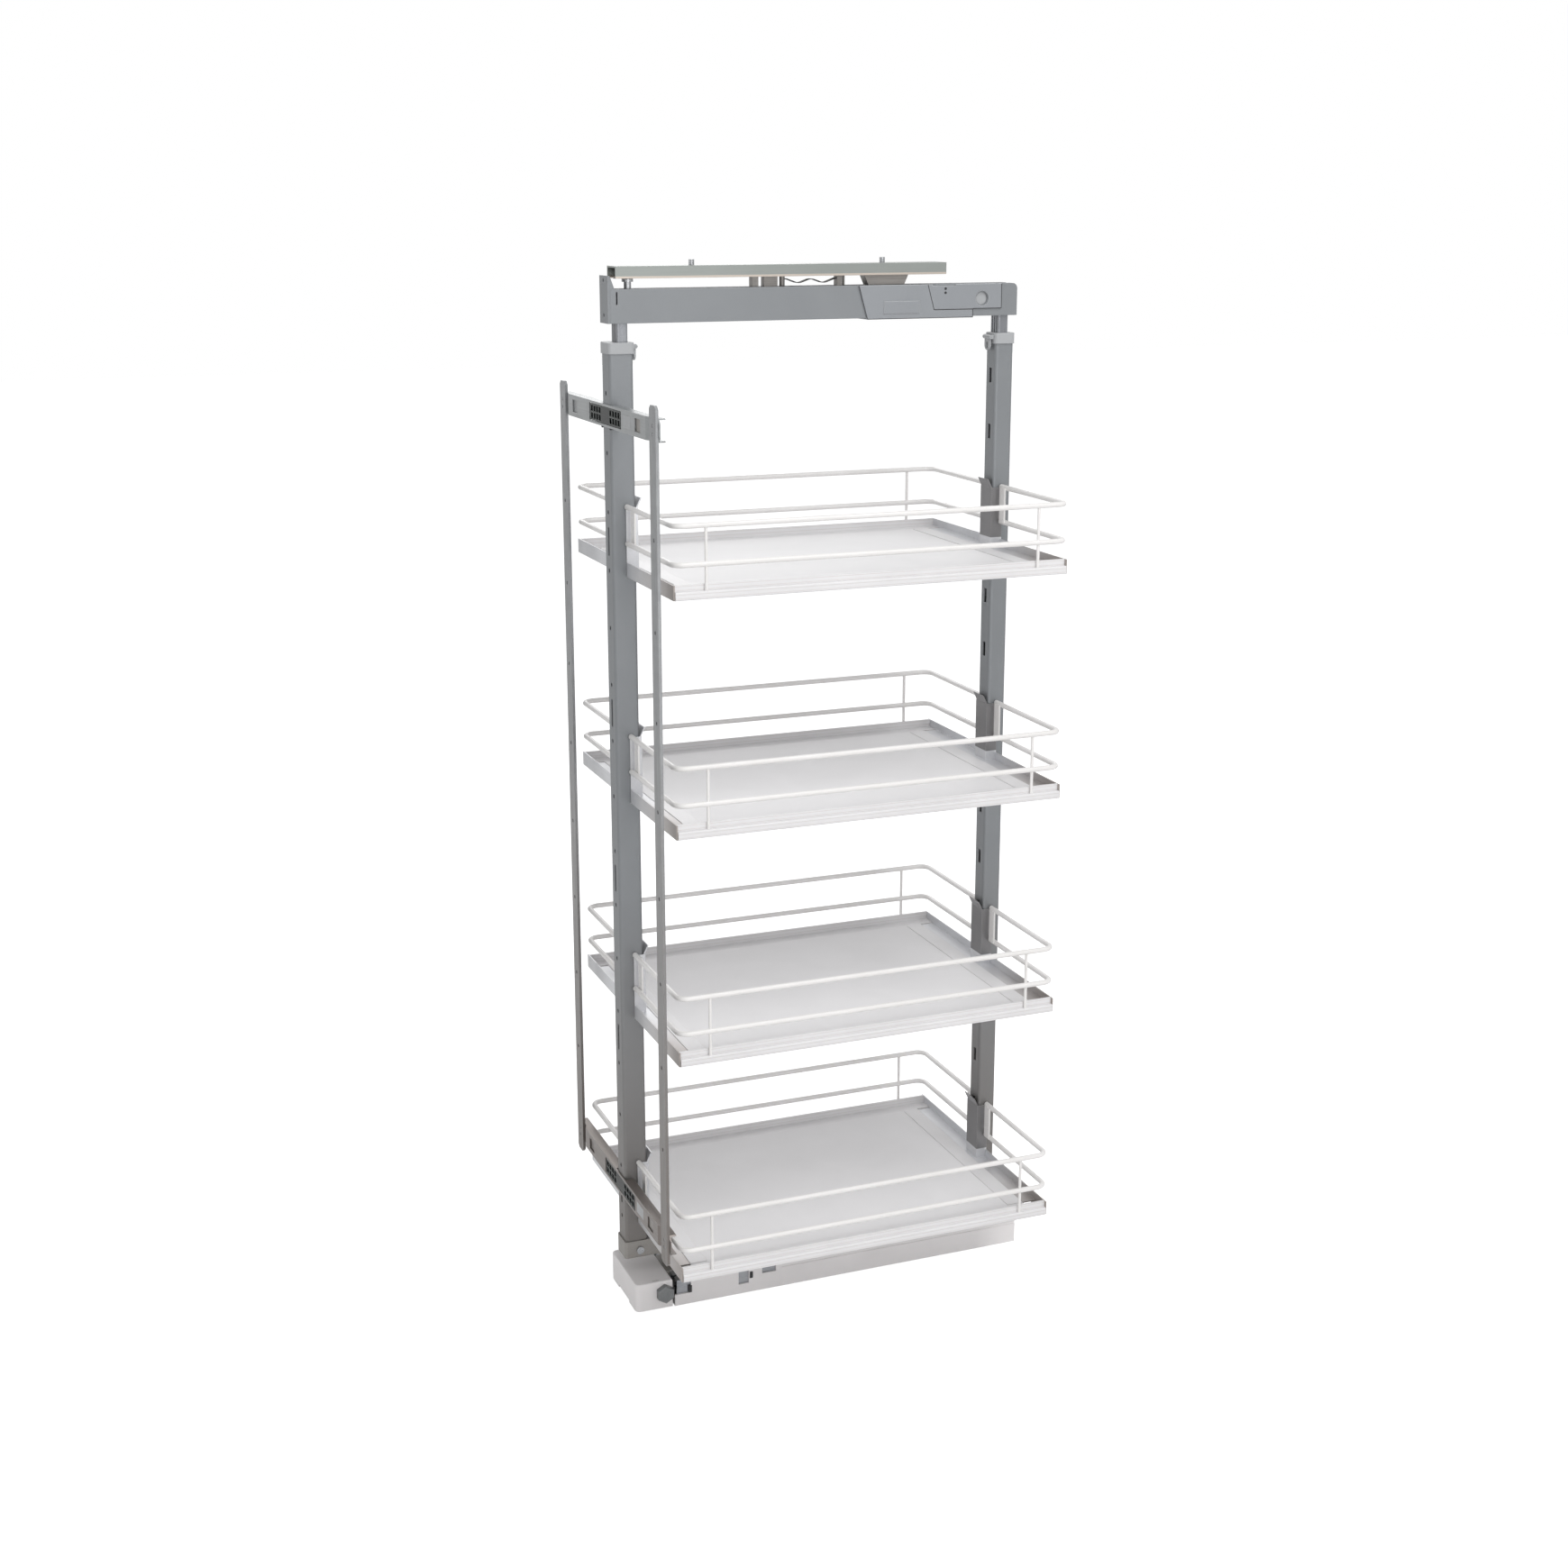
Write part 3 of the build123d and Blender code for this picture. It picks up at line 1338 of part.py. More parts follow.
def adjusting_screw(height):
    """A screw along the crossbar, from the slide block into the adjuster."""
    head_start = slider_end + slider_flange + slip
    screw_start = adjuster_half_length - adjust_thread
    with BuildPart() as screw:
        with BuildSketch(Plane.YZ.offset(screw_start)):
            with Locations((adjust_y, height)):
                Circle(adjust_radius)
        extrude(amount=head_start - screw_start)
        with BuildSketch(Plane.YZ.offset(head_start)):
            with Locations((adjust_y, height)):
                Circle(adjust_head_radius)
        extrude(amount=adjust_head_length)
        recess_depth = adjust_head_length / 2
        with BuildSketch(Plane.YZ.offset(head_start + adjust_head_length - recess_depth)):
            with Locations((adjust_y, height)):
                RegularPolygon(adjust_head_radius / 2, 6)
        extrude(amount=recess_depth, mode=Mode.SUBTRACT)
    return screw.part


adjusting_screw_lower = adjusting_screw(crossbar_heights[0])
adjusting_screw_lower.label = "adjusting_screw_lower"
export_step(adjusting_screw_lower, "parts/adjusting_screw_lower.step")

adjusting_screw_upper = adjusting_screw(crossbar_heights[1])
adjusting_screw_upper.label = "adjusting_screw_upper"
export_step(adjusting_screw_upper, "parts/adjusting_screw_upper.step")


tray_front = front_line
tray_rear = front_line + tray_length
ledge_edge = rim_half_width - rim_lip - ledge_width


def tray_side_profiles(rim):
    """The two long side profiles: rim, step, rounded foot, ledge and rebate for the floor."""
    outer = rim_half_width + bulge
    with BuildPart() as sides:
        for side in (-1, 1):
            with BuildSketch(section_from(tray_front + sheet)) as profile:
                with BuildLine():
                    Polyline(
                        (side * rim_half_width, rim),
                        (side * rim_half_width, rim - rim_step),
                        (side * outer, rim - rim_step),
                        (side * outer, rim - rim_height),
                        (side * (ledge_edge - rebate_width), rim - rim_height),
                        (side * (ledge_edge - rebate_width), rim - ledge_depth - board_thickness),
                        (side * ledge_edge, rim - ledge_depth - board_thickness),
                        (side * ledge_edge, rim - ledge_depth),
                        (side * (rim_half_width - rim_lip), rim - ledge_depth),
                        (side * (rim_half_width - rim_lip), rim),
                        close=True,
                    )
                make_face()
                outer_corners = profile.vertices().filter_by_position(
                    Axis.X, side * outer - slip, side * outer + slip
                )
                fillet(outer_corners, radius=bulge_radius)
                chamber_height = rim_height - ledge_depth - 2 * chamber_wall
                chamber_length = outer - ledge_edge - 2 * chamber_wall
                chamber_place = (
                    side * (outer + ledge_edge) / 2,
                    rim - rim_height + chamber_wall + chamber_height / 2,
                )
                with Locations(chamber_place):
                    Rectangle(chamber_length, chamber_height, mode=Mode.SUBTRACT)
            extrude(amount=tray_length - 2 * sheet)
    return sides.part


def tray_board(rim):
    """The floor board, which lies in the rebates of the sides and on the end lips."""
    with BuildPart() as board:
        with BuildSketch(Plane.XY.offset(rim - ledge_depth - board_thickness)):
            with Locations((0, (tray_front + tray_rear) / 2)):
                Rectangle(2 * ledge_edge, tray_length - 2 * end_flange)
        extrude(amount=board_thickness)
    return board.part


def tray_end_rails(rim):
    """Both end rails, each with its hanger round the post and two hooks in the post's slots."""
    ends = (
        (tray_front, 1, front_post_width, front_post_back),
        (tray_rear, -1, rear_post_width, rear_post_front),
    )
    bottom = rim - rim_height
    board_bottom = rim - ledge_depth - board_thickness
    with BuildPart() as rails:
        for end, inward, post_width, post_face in ends:
            hanger_half = post_width / 2 + slip + sheet
            web_front = post_face + inward * slip
            web_rear = web_front + inward * sheet
            with BuildSketch(section_from(end if inward > 0 else end - sheet)):
                with Locations((0, rim - rim_height / 2)):
                    Rectangle(2 * end_half_width, rim_height)
            extrude(amount=sheet)
            with BuildSketch(Plane.YZ):
                with BuildLine():
                    Polyline(
                        (end, rim - ledge_depth),
                        (end + inward * end_flange, rim - ledge_depth),
                        (end + inward * end_flange, board_bottom),
                        (end + inward * (end_flange + end_lip), board_bottom),
                        (end + inward * (end_flange + end_lip), board_bottom - sheet),
                        (end + inward * (end_flange - sheet), board_bottom - sheet),
                        (end + inward * (end_flange - sheet), rim - ledge_depth - sheet),
                        (end, rim - ledge_depth - sheet),
                        close=True,
                    )
                make_face()
            extrude(amount=ledge_edge - rebate_width - slip, both=True)
            with BuildSketch(Plane.XY.offset(bottom)):
                with Locations((0, (end + web_rear) / 2)):
                    Rectangle(2 * hanger_half, abs(web_rear - end))
            extrude(amount=rim_height + hanger_rise)
            with BuildSketch(Plane.YZ):
                with BuildLine():
                    flare_floor = rim + hanger_rise
                    flare_top = flare_floor + hanger_flare_rise
                    Polyline(
                        (web_front, flare_floor),
                        (web_rear, flare_floor),
                        (web_rear + inward * hanger_flare, flare_top),
                        (web_front + inward * hanger_flare, flare_top),
                        close=True,
                    )
                make_face()
            extrude(amount=post_width / 2, both=True)
            with BuildSketch(Plane.XY.offset(bottom - overrun)):
                post_side = end - inward * overrun
                with Locations((0, (post_side + web_front) / 2)):
                    Rectangle(post_width + 2 * slip, abs(web_front - post_side))
            extrude(amount=rim_height + hanger_rise + 2 * overrun, mode=Mode.SUBTRACT)
            lip_rear = post_face - inward * (post_wall + slip)
            lip_front = lip_rear - inward * hook_lip_thickness
            for hook_floor in (rim - hook_drop, rim - hook_drop + hole_spacing):
                with BuildSketch(Plane.YZ):
                    with BuildLine():
                        Polyline(
                            (web_front, hook_floor),
                            (lip_rear, hook_floor),
                            (lip_rear, hook_floor - hook_lip),
                            (lip_front, hook_floor - hook_lip),
                            (lip_front, hook_floor + hook_height),
                            (web_front, hook_floor + hook_height),
                            close=True,
                        )
                    make_face()
                extrude(amount=hook_half_width, both=True)
    return rails.part


def tray_railing(rim):
    """Two halves of bent wire, each with its uprights and flat links beside the hangers."""
    rail_front_y = tray_front + railing_inset
    rail_rear_y = tray_rear - railing_inset
    front_end = front_post_width / 2 + slip + sheet
    rear_end = rear_post_width / 2 + slip + sheet
    link_offset = wire_radius - link_overlap + link_thickness / 2
    with BuildPart() as railing:
        for side in (-1, 1):
            for rise in (lower_rail_rise, upper_rail_rise):
                with BuildLine(Plane.XY.offset(rim + rise)) as path:
                    FilletPolyline(
                        (side * front_end, rail_front_y),
                        (side * railing_half_width, rail_front_y),
                        (side * railing_half_width, rail_rear_y),
                        (side * rear_end, rail_rear_y),
                        radius=railing_corner,
                    )
                with BuildSketch(Plane.YZ.offset(side * front_end)):
                    with Locations((rail_front_y, rim + rise)):
                        Circle(wire_radius)
                sweep(path=path.wires()[0])
            with BuildSketch(Plane.XY.offset(rim - rim_step)):
                uprights = (tray_front + upright_inset, tray_rear - upright_inset)
                with Locations(*[(side * railing_half_width, place) for place in uprights]):
                    Circle(thin_wire_radius)
            extrude(amount=rim_step + upper_rail_rise)
            links = (
                (front_end, rail_front_y + link_offset),
                (rear_end, rail_rear_y - link_offset),
            )
            with BuildSketch(Plane.XY.offset(rim + lower_rail_rise)):
                for end, place in links:
                    with Locations((side * (end + link_start + link_width / 2), place)):
                        Rectangle(link_width, link_thickness)
            extrude(amount=upper_rail_rise - lower_rail_rise)
    return railing.part


for level in range(tray_count):
    rim = first_rim + level * tray_pitch
    pieces = (
        ("floor", tray_board(rim)),
        ("sides", tray_side_profiles(rim)),
        ("ends", tray_end_rails(rim)),
        ("railing", tray_railing(rim)),
    )
    for kind, piece in pieces:
        name = f"tray_{level + 1}_{kind}"
        piece.label = name
        export_step(piece, f"parts/{name}.step")
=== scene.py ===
import bpy, bmesh, json, math
from mathutils import Matrix, Vector


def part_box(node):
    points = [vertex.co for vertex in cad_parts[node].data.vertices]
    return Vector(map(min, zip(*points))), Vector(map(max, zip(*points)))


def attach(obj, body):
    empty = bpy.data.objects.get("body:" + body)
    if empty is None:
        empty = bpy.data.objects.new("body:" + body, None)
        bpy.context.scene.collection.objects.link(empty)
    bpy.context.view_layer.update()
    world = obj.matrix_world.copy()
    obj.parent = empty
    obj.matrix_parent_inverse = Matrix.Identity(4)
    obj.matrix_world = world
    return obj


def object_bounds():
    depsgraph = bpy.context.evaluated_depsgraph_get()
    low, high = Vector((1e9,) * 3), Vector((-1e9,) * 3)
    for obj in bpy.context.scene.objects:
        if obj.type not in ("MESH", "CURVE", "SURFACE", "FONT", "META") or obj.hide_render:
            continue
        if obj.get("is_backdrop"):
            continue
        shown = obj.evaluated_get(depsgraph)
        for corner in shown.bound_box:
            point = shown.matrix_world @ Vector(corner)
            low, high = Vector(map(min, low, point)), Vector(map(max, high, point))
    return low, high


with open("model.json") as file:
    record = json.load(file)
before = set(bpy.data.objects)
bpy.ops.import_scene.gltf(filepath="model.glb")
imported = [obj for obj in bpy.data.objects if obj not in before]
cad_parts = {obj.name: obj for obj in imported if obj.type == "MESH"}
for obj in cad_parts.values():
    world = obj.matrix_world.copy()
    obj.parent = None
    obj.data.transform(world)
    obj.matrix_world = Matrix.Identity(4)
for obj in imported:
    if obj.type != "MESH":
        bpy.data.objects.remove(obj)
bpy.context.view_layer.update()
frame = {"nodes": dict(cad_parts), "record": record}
nodes = frame["nodes"]
print("frame loaded,", len(nodes), "nodes")


# Shader helpers
def addNode(tree, kind, inputs=None, **settings):
    node = tree.nodes.new(kind)
    for key, value in settings.items():
        setattr(node, key, value)
    for key, value in (inputs or {}).items():
        if isinstance(value, bpy.types.NodeSocket):
            tree.links.new(value, node.inputs[key])
        else:
            node.inputs[key].default_value = value
    return node


def newGroup(name, inputs, outputs):
    group = bpy.data.node_groups.new(name, "ShaderNodeTree")
    for label, kind, value in inputs:
        group.interface.new_socket(label, in_out="INPUT", socket_type=kind).default_value = value
    for label, kind in outputs:
        group.interface.new_socket(label, in_out="OUTPUT", socket_type=kind)
    return group, group.nodes.new("NodeGroupInput").outputs, group.nodes.new("NodeGroupOutput").inputs


def mixColour(tree, factor, first, second):
    mix = addNode(tree, "ShaderNodeMix", {0: factor, 6: first, 7: second}, data_type="RGBA")
    return mix.outputs[2]


def drawnGrainGroup():  # noise pulled out along the way a sheet or bar was rolled
    group, given, out = newGroup(
        "drawnGrain",
        [("Stretch", "NodeSocketVector", (400, 400, 400)), ("Detail", "NodeSocketFloat", 3.0)],
        [("Value", "NodeSocketFloat")])
    place = addNode(group, "ShaderNodeTexCoord").outputs["Object"]
    pulled = addNode(group, "ShaderNodeVectorMath", {0: place, 1: given["Stretch"]}, operation="MULTIPLY")
    noise = addNode(group, "ShaderNodeTexNoise",
                    {"Vector": pulled.outputs[0], "Scale": 1.0, "Detail": given["Detail"]})
    group.links.new(noise.outputs["Fac"], out["Value"])
    return group


def softEdgeGroup():  # rounds sharp edges for the light and finds where they rub bare; with Even it also marks whole edges for painted highlights (lighter tone) and painted edge shade (darker tone)
    group, given, out = newGroup(
        "softEdge",
        [("Radius", "NodeSocketFloat", 0.0006), ("Patch", "NodeSocketFloat", 90.0),
         ("Even", "NodeSocketFloat", 0.0)],
        [("Normal", "NodeSocketVector"), ("WearAndEdgeLight", "NodeSocketFloat")])
    rounded = addNode(group, "ShaderNodeBevel", {"Radius": given["Radius"]}, samples=4)
    flat = addNode(group, "ShaderNodeNewGeometry").outputs["Normal"]
    turn = addNode(group, "ShaderNodeVectorMath", {0: rounded.outputs[0], 1: flat}, operation="DOT_PRODUCT")
    edge = addNode(group, "ShaderNodeMapRange",
                   {"Value": turn.outputs["Value"], 1: 0.99, 2: 0.75, 3: 0.0, 4: 1.0})
    place = addNode(group, "ShaderNodeTexCoord").outputs["Object"]
    noise = addNode(group, "ShaderNodeTexNoise", {"Vector": place, "Scale": given["Patch"], "Detail": 4.0})
    patch = addNode(group, "ShaderNodeMapRange",
                    {"Value": noise.outputs["Fac"], 1: 0.42, 2: 0.62, 3: given["Even"], 4: 1.0})
    wornAndLitEdge = addNode(group, "ShaderNodeMath", {0: edge.outputs[0], 1: patch.outputs[0]}, operation="MULTIPLY")
    group.links.new(rounded.outputs[0], out["Normal"])
    group.links.new(wornAndLitEdge.outputs[0], out["WearAndEdgeLight"])
    return group


def cloudGroup():  # slow, faint patches such as handling and plating leave
    group, given, out = newGroup(
        "cloud", [("Scale", "NodeSocketFloat", 14.0)], [("Value", "NodeSocketFloat")])
    place = addNode(group, "ShaderNodeTexCoord").outputs["Object"]
    noise = addNode(group, "ShaderNodeTexNoise",
                    {"Vector": place, "Scale": given["Scale"], "Detail": 5.0, "Distortion": 0.6})
    spread = addNode(group, "ShaderNodeMapRange",
                     {"Value": noise.outputs["Fac"], 1: 0.3, 2: 0.7, 3: 0.0, 4: 1.0})
    group.links.new(spread.outputs[0], out["Value"])
    return group


drawnGrain, softEdge, cloud = drawnGrainGroup(), softEdgeGroup(), cloudGroup()


def colour(red, green, blue):  # screen values from 0 to 255
    return (*[((c / 255 + 0.055) / 1.055) ** 2.4 for c in (red, green, blue)], 1.0)


coatRough = 0.25
grainDepth = 0.0002  # metres that the grain stands up


def makeFinish(name, look):
    material = bpy.data.materials.new(name)
    material.use_nodes = True
    tree = material.node_tree
    shader = tree.nodes["Principled BSDF"]
    shader.inputs["Metallic"].default_value = look.get("metal", 0.0)
    shader.inputs["Coat Weight"].default_value = look.get("coat", 0.0)
    shader.inputs["Coat Roughness"].default_value = coatRough
    grain = addNode(tree, "ShaderNodeGroup", node_tree=drawnGrain)
    grain.inputs["Stretch"].default_value = look["grain"]
    patches = addNode(tree, "ShaderNodeGroup", node_tree=cloud)
    patches.inputs["Scale"].default_value = look.get("cloud", 14.0)
    edges = addNode(tree, "ShaderNodeGroup", node_tree=softEdge)
    edges.inputs["Radius"].default_value = look.get("round", 0.0006)
    edges.inputs["Even"].default_value = look.get("even", 0.0)
    place = addNode(tree, "ShaderNodeTexCoord").outputs["Object"]
    along = addNode(tree, "ShaderNodeSeparateXYZ", {0: place}).outputs
    base = mixColour(tree, patches.outputs["Value"], colour(*look["colour"]), colour(*look["shade"]))
    fleck = addNode(tree, "ShaderNodeMapRange",
                    {"Value": grain.outputs["Value"], 1: 0.35, 2: 0.7, 3: 0.0, 4: look.get("fleck", 0.25)})
    base = mixColour(tree, fleck.outputs[0], base, colour(*look.get("streak", look["shade"])))
    height = grain.outputs["Value"]
    # In the post and zinc finishes this second tone is painted shade towards the floor; on bright_steel it
    # is painted reflection towards the +X corner
    if "fade" in look:  # a second tone from one place along an axis to another
        axis, near, far, tone = look["fade"]
        mask = addNode(tree, "ShaderNodeMapRange",
                       {"Value": along[axis], 1: near, 2: far, 3: 0.0, 4: 1.0})
        base = mixColour(tree, mask.outputs[0], base, colour(*tone))
    if "tier" in look:  # another tone on what stands, in the rear half, above a level that repeats
        first, pitch, level, tone = look["tier"]
        up = addNode(tree, "ShaderNodeMath", {0: along["Z"], 1: first}, operation="SUBTRACT")
        rest = addNode(tree, "ShaderNodeMath", {0: up.outputs[0], 1: pitch}, operation="FLOORED_MODULO")
        over = addNode(tree, "ShaderNodeMath", {0: rest.outputs[0], 1: level}, operation="GREATER_THAN")
        behind = addNode(tree, "ShaderNodeMath", {0: along["Y"], 1: 0.0}, operation="GREATER_THAN")
        mask = addNode(tree, "ShaderNodeMath",
                       {0: over.outputs[0], 1: behind.outputs[0]}, operation="MULTIPLY")
        base = mixColour(tree, mask.outputs[0], base, colour(*tone))
    if "band" in look:  # another tone below a height
        level, tone = look["band"]
        mask = addNode(tree, "ShaderNodeMath", {0: along["Z"], 1: level}, operation="LESS_THAN")
        base = mixColour(tree, mask.outputs[0], base, colour(*tone))
    # The rib lines take the darker edge tone as painted shade in the grooves
    if "ribs" in look:  # fine drawn lines, one above another
        spacing, share, strength = look["ribs"]
        count = addNode(tree, "ShaderNodeMath", {0: along["Z"], 1: spacing}, operation="DIVIDE")
        saw = addNode(tree, "ShaderNodeMath", {0: count.outputs[0]}, operation="FRACT")
        line = addNode(tree, "ShaderNodeMath", {0: saw.outputs[0], 1: share}, operation="LESS_THAN")
        faint = addNode(tree, "ShaderNodeMath", {0: line.outputs[0], 1: strength}, operation="MULTIPLY")
        base = mixColour(tree, faint.outputs[0], base, colour(*look["bareAndPaintedLight"]))
        lowered = addNode(tree, "ShaderNodeMath", {0: height, 1: line.outputs[0]}, operation="SUBTRACT")
        height = lowered.outputs[0]
    # Edge tone: rubbed-bare wear where it is broken into patches; where Even lays it along whole edges it
    # is a painted highlight when lighter and painted edge shade when darker
    edgeWearAndLightShare = addNode(tree, "ShaderNodeMath",
                     {0: edges.outputs["WearAndEdgeLight"], 1: look.get("edgeWearAndLight", 0.3)}, operation="MULTIPLY")
    base = mixColour(tree, edgeWearAndLightShare.outputs[0], base, colour(*look.get("bareAndPaintedLight", look["colour"])))
    low, high = look["rough"]
    rough = addNode(tree, "ShaderNodeMapRange",
                    {"Value": grain.outputs["Value"], 1: 0.3, 2: 0.7, 3: low, 4: high})
    bump = addNode(tree, "ShaderNodeBump",
                   {"Strength": look.get("bump", 0.2), "Distance": grainDepth,
                    "Height": height, "Normal": edges.outputs["Normal"]})
    tree.links.new(base, shader.inputs["Base Color"])
    tree.links.new(rough.outputs[0], shader.inputs["Roughness"])
    tree.links.new(bump.outputs[0], shader.inputs["Normal"])
    return material


# What each finish looks like: screen colours, grain per metre along X, Y and Z, and how rough it is
finishes = {
    "white_plastic": dict(
        colour=(242, 239, 239), shade=(236, 233, 233), grain=(900, 900, 900), rough=(0.38, 0.5),
        bump=0.12, round=0.0009, edgeWearAndLight=0.25, bareAndPaintedLight=(206, 202, 200), fleck=0.08, even=0.6),
    "dark_steel": dict(
        colour=(160, 157, 153), shade=(146, 143, 139), grain=(1400, 1400, 1400), rough=(0.4, 0.55),
        metal=0.5, bump=0.25, edgeWearAndLight=0.5, bareAndPaintedLight=(176, 177, 179), fleck=0.25, streak=(112, 106, 102)),
    "runner_steel": dict(
        colour=(176, 178, 182), shade=(156, 159, 164), grain=(900, 12, 900), rough=(0.24, 0.4),
        metal=1.0, bump=0.15, edgeWearAndLight=0.5, bareAndPaintedLight=(220, 221, 223), streak=(126, 124, 124)),
    "nylon": dict(
        colour=(232, 231, 226), shade=(222, 220, 213), grain=(500, 500, 500), rough=(0.35, 0.45),
        bump=0.1, fleck=0.1),
    "screw_steel": dict(
        colour=(182, 183, 185), shade=(158, 160, 163), grain=(900, 900, 900), rough=(0.2, 0.36),
        metal=1.0, round=0.0003, streak=(120, 120, 122)),
    # The darker, browner tone towards the floor (fade) is painted shade; the light edge tone is partly
    # painted highlight
    "post_paint": dict(
        colour=(136, 139, 142), shade=(132, 135, 138), grain=(1500, 1500, 1500), rough=(0.42, 0.55),
        metal=0.4, bump=0.15, round=0.001, edgeWearAndLight=0.35, bareAndPaintedLight=(178, 180, 182), streak=(136, 137, 139),
        fleck=0.2, even=0.3, fade=("Z", 0.5, 0.06, (122, 118, 115))),
    "grey_plastic": dict(
        colour=(176, 178, 180), shade=(170, 172, 174), grain=(1000, 1000, 1000), rough=(0.42, 0.54),
        bump=0.18, round=0.0008, edgeWearAndLight=0.3, bareAndPaintedLight=(192, 193, 195), fleck=0.12, even=0.3),
    # The even, light edge tone here paints highlight lines round the covers and panels
    "cover_grey": dict(
        colour=(148, 151, 155), shade=(144, 147, 151), grain=(1200, 1200, 1200), rough=(0.42, 0.54),
        metal=0.3, bump=0.14, round=0.0015, edgeWearAndLight=0.9, bareAndPaintedLight=(206, 208, 210), fleck=0.12, even=1.0),
    "inner_aluminium": dict(
        colour=(142, 144, 148), shade=(128, 130, 134), grain=(900, 900, 10), rough=(0.24, 0.36),
        metal=0.7, streak=(108, 110, 114)),
    "rail_aluminium": dict(
        colour=(150, 154, 151), shade=(145, 149, 146), grain=(1200, 14, 1200), rough=(0.3, 0.42),
        metal=0.6, bump=0.1, streak=(134, 137, 134), fleck=0.15, band=(1.1868, (192, 182, 172))),
    "black_plastic": dict(
        colour=(44, 44, 46), shade=(36, 36, 38), grain=(1100, 1100, 1100), rough=(0.42, 0.58), bump=0.2,
        fleck=0.2, edgeWearAndLight=0.3, bareAndPaintedLight=(96, 96, 98)),
    "lattice_plastic": dict(
        colour=(38, 40, 40), shade=(32, 34, 34), grain=(1100, 1100, 1100), rough=(0.4, 0.55), bump=0.15,
        round=0.0008, edgeWearAndLight=1.0, bareAndPaintedLight=(168, 176, 172), even=0.9),
    "carriage_steel": dict(
        colour=(158, 154, 150), shade=(140, 137, 134), grain=(900, 30, 900), rough=(0.35, 0.5),
        metal=0.5, bump=0.15, edgeWearAndLight=0.6, bareAndPaintedLight=(196, 190, 184), streak=(100, 97, 95), fleck=0.3),
    # The darker, browner tone towards the floor (fade) is painted shade; the light edge tone paints thin
    # highlights
    "zinc_steel": dict(
        colour=(150, 152, 154), shade=(140, 142, 144), grain=(700, 700, 14), cloud=60.0,
        rough=(0.3, 0.46), metal=0.6, bump=0.12, edgeWearAndLight=0.6, bareAndPaintedLight=(194, 195, 196), streak=(122, 120, 119),
        even=0.4, fleck=0.2, fade=("Z", 0.75, 0.1, (116, 110, 106))),
    # The darker, browner tone towards the floor (fade) is painted shade; the light edge tone is partly
    # painted highlight
    "crossbar_zinc": dict(
        colour=(158, 161, 162), shade=(148, 151, 152), grain=(14, 700, 700), cloud=60.0,
        rough=(0.28, 0.42), metal=0.6, bump=0.12, edgeWearAndLight=0.7, bareAndPaintedLight=(214, 216, 216),
        streak=(142, 142, 142), even=0.5, fleck=0.2, fade=("Z", 0.7, 0.15, (122, 115, 111))),
    # The light edge tone is partly rubbed wear and partly painted highlight on the bolt's edges
    "bolt_steel": dict(
        colour=(138, 141, 142), shade=(122, 124, 125), grain=(900, 900, 900), rough=(0.3, 0.44),
        metal=0.6, round=0.0004, edgeWearAndLight=0.7, bareAndPaintedLight=(176, 178, 180), streak=(90, 90, 90), even=0.5),
    "tray_board": dict(
        colour=(237, 236, 237), shade=(233, 232, 233), grain=(1600, 1600, 1600), rough=(0.42, 0.55),
        bump=0.12, fleck=0.08, edgeWearAndLight=0.4, bareAndPaintedLight=(196, 197, 200), even=0.8),
    # The even, darker edge tone paints shade lines along the edges, and the rib lines are painted shade in
    # the grooves
    "tray_profile": dict(
        colour=(232, 231, 232), shade=(227, 226, 227), grain=(1500, 14, 1500), rough=(0.36, 0.42),
        coat=0.1, bump=0.05, round=0.0006, fleck=0.04, edgeWearAndLight=0.45, bareAndPaintedLight=(202, 194, 190), even=1.0,
        ribs=(0.004, 0.17, 0.45)),
    # The brown-grey tone towards the +X corner (fade) is painted reflection; the light, even edge tone is
    # painted highlight
    "bright_steel": dict(
        colour=(222, 223, 226), shade=(212, 213, 216), grain=(20, 700, 700), cloud=30.0,
        rough=(0.3, 0.36), metal=0.35, bump=0.03, edgeWearAndLight=0.35, bareAndPaintedLight=(236, 236, 236), even=0.9,
        streak=(182, 181, 183), fleck=0.12, fade=("X", 0.02, 0.17, (158, 150, 145)),
        tier=(0.094, 0.256, 0.0225, (128, 127, 128))),
    "white_wire": dict(
        colour=(240, 238, 237), shade=(234, 232, 230), grain=(700, 700, 700), rough=(0.26, 0.36),
        coat=0.3, bump=0.06, fleck=0.05),
}
materials = {name: makeFinish(name, look) for name, look in finishes.items()}
slotOf = {part["node"]: part["material_slot"] for part in frame["record"]["subparts"]}
otherFinish = dict(guide_carriage="carriage_steel", rear_glide="carriage_steel", clamping_bolt="bolt_steel",
                   crossbars="crossbar_zinc", damper_cover="cover_grey", rear_panels="cover_grey",
                   wave_spring="black_plastic", door_adjusters="lattice_plastic")
for name, part in nodes.items():
    part.data.materials.clear()
    part.data.materials.append(materials[otherFinish.get(name, slotOf[name])])
print("finishes on all nodes")


# Pieces beside the CAD nodes
def addPiece(name, mesh, finish, body):
    mesh.materials.clear()
    mesh.materials.append(materials[finish])
    piece = bpy.data.objects.new(name, mesh)
    bpy.context.scene.collection.objects.link(piece)
    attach(piece, body)
    return piece


def meshFrom(build, name):
    shape = bmesh.new()
    build(shape)
    bmesh.ops.recalc_face_normals(shape, faces=shape.faces)
    mesh = bpy.data.meshes.new(name)
    shape.to_mesh(mesh)
    shape.free()
    return mesh


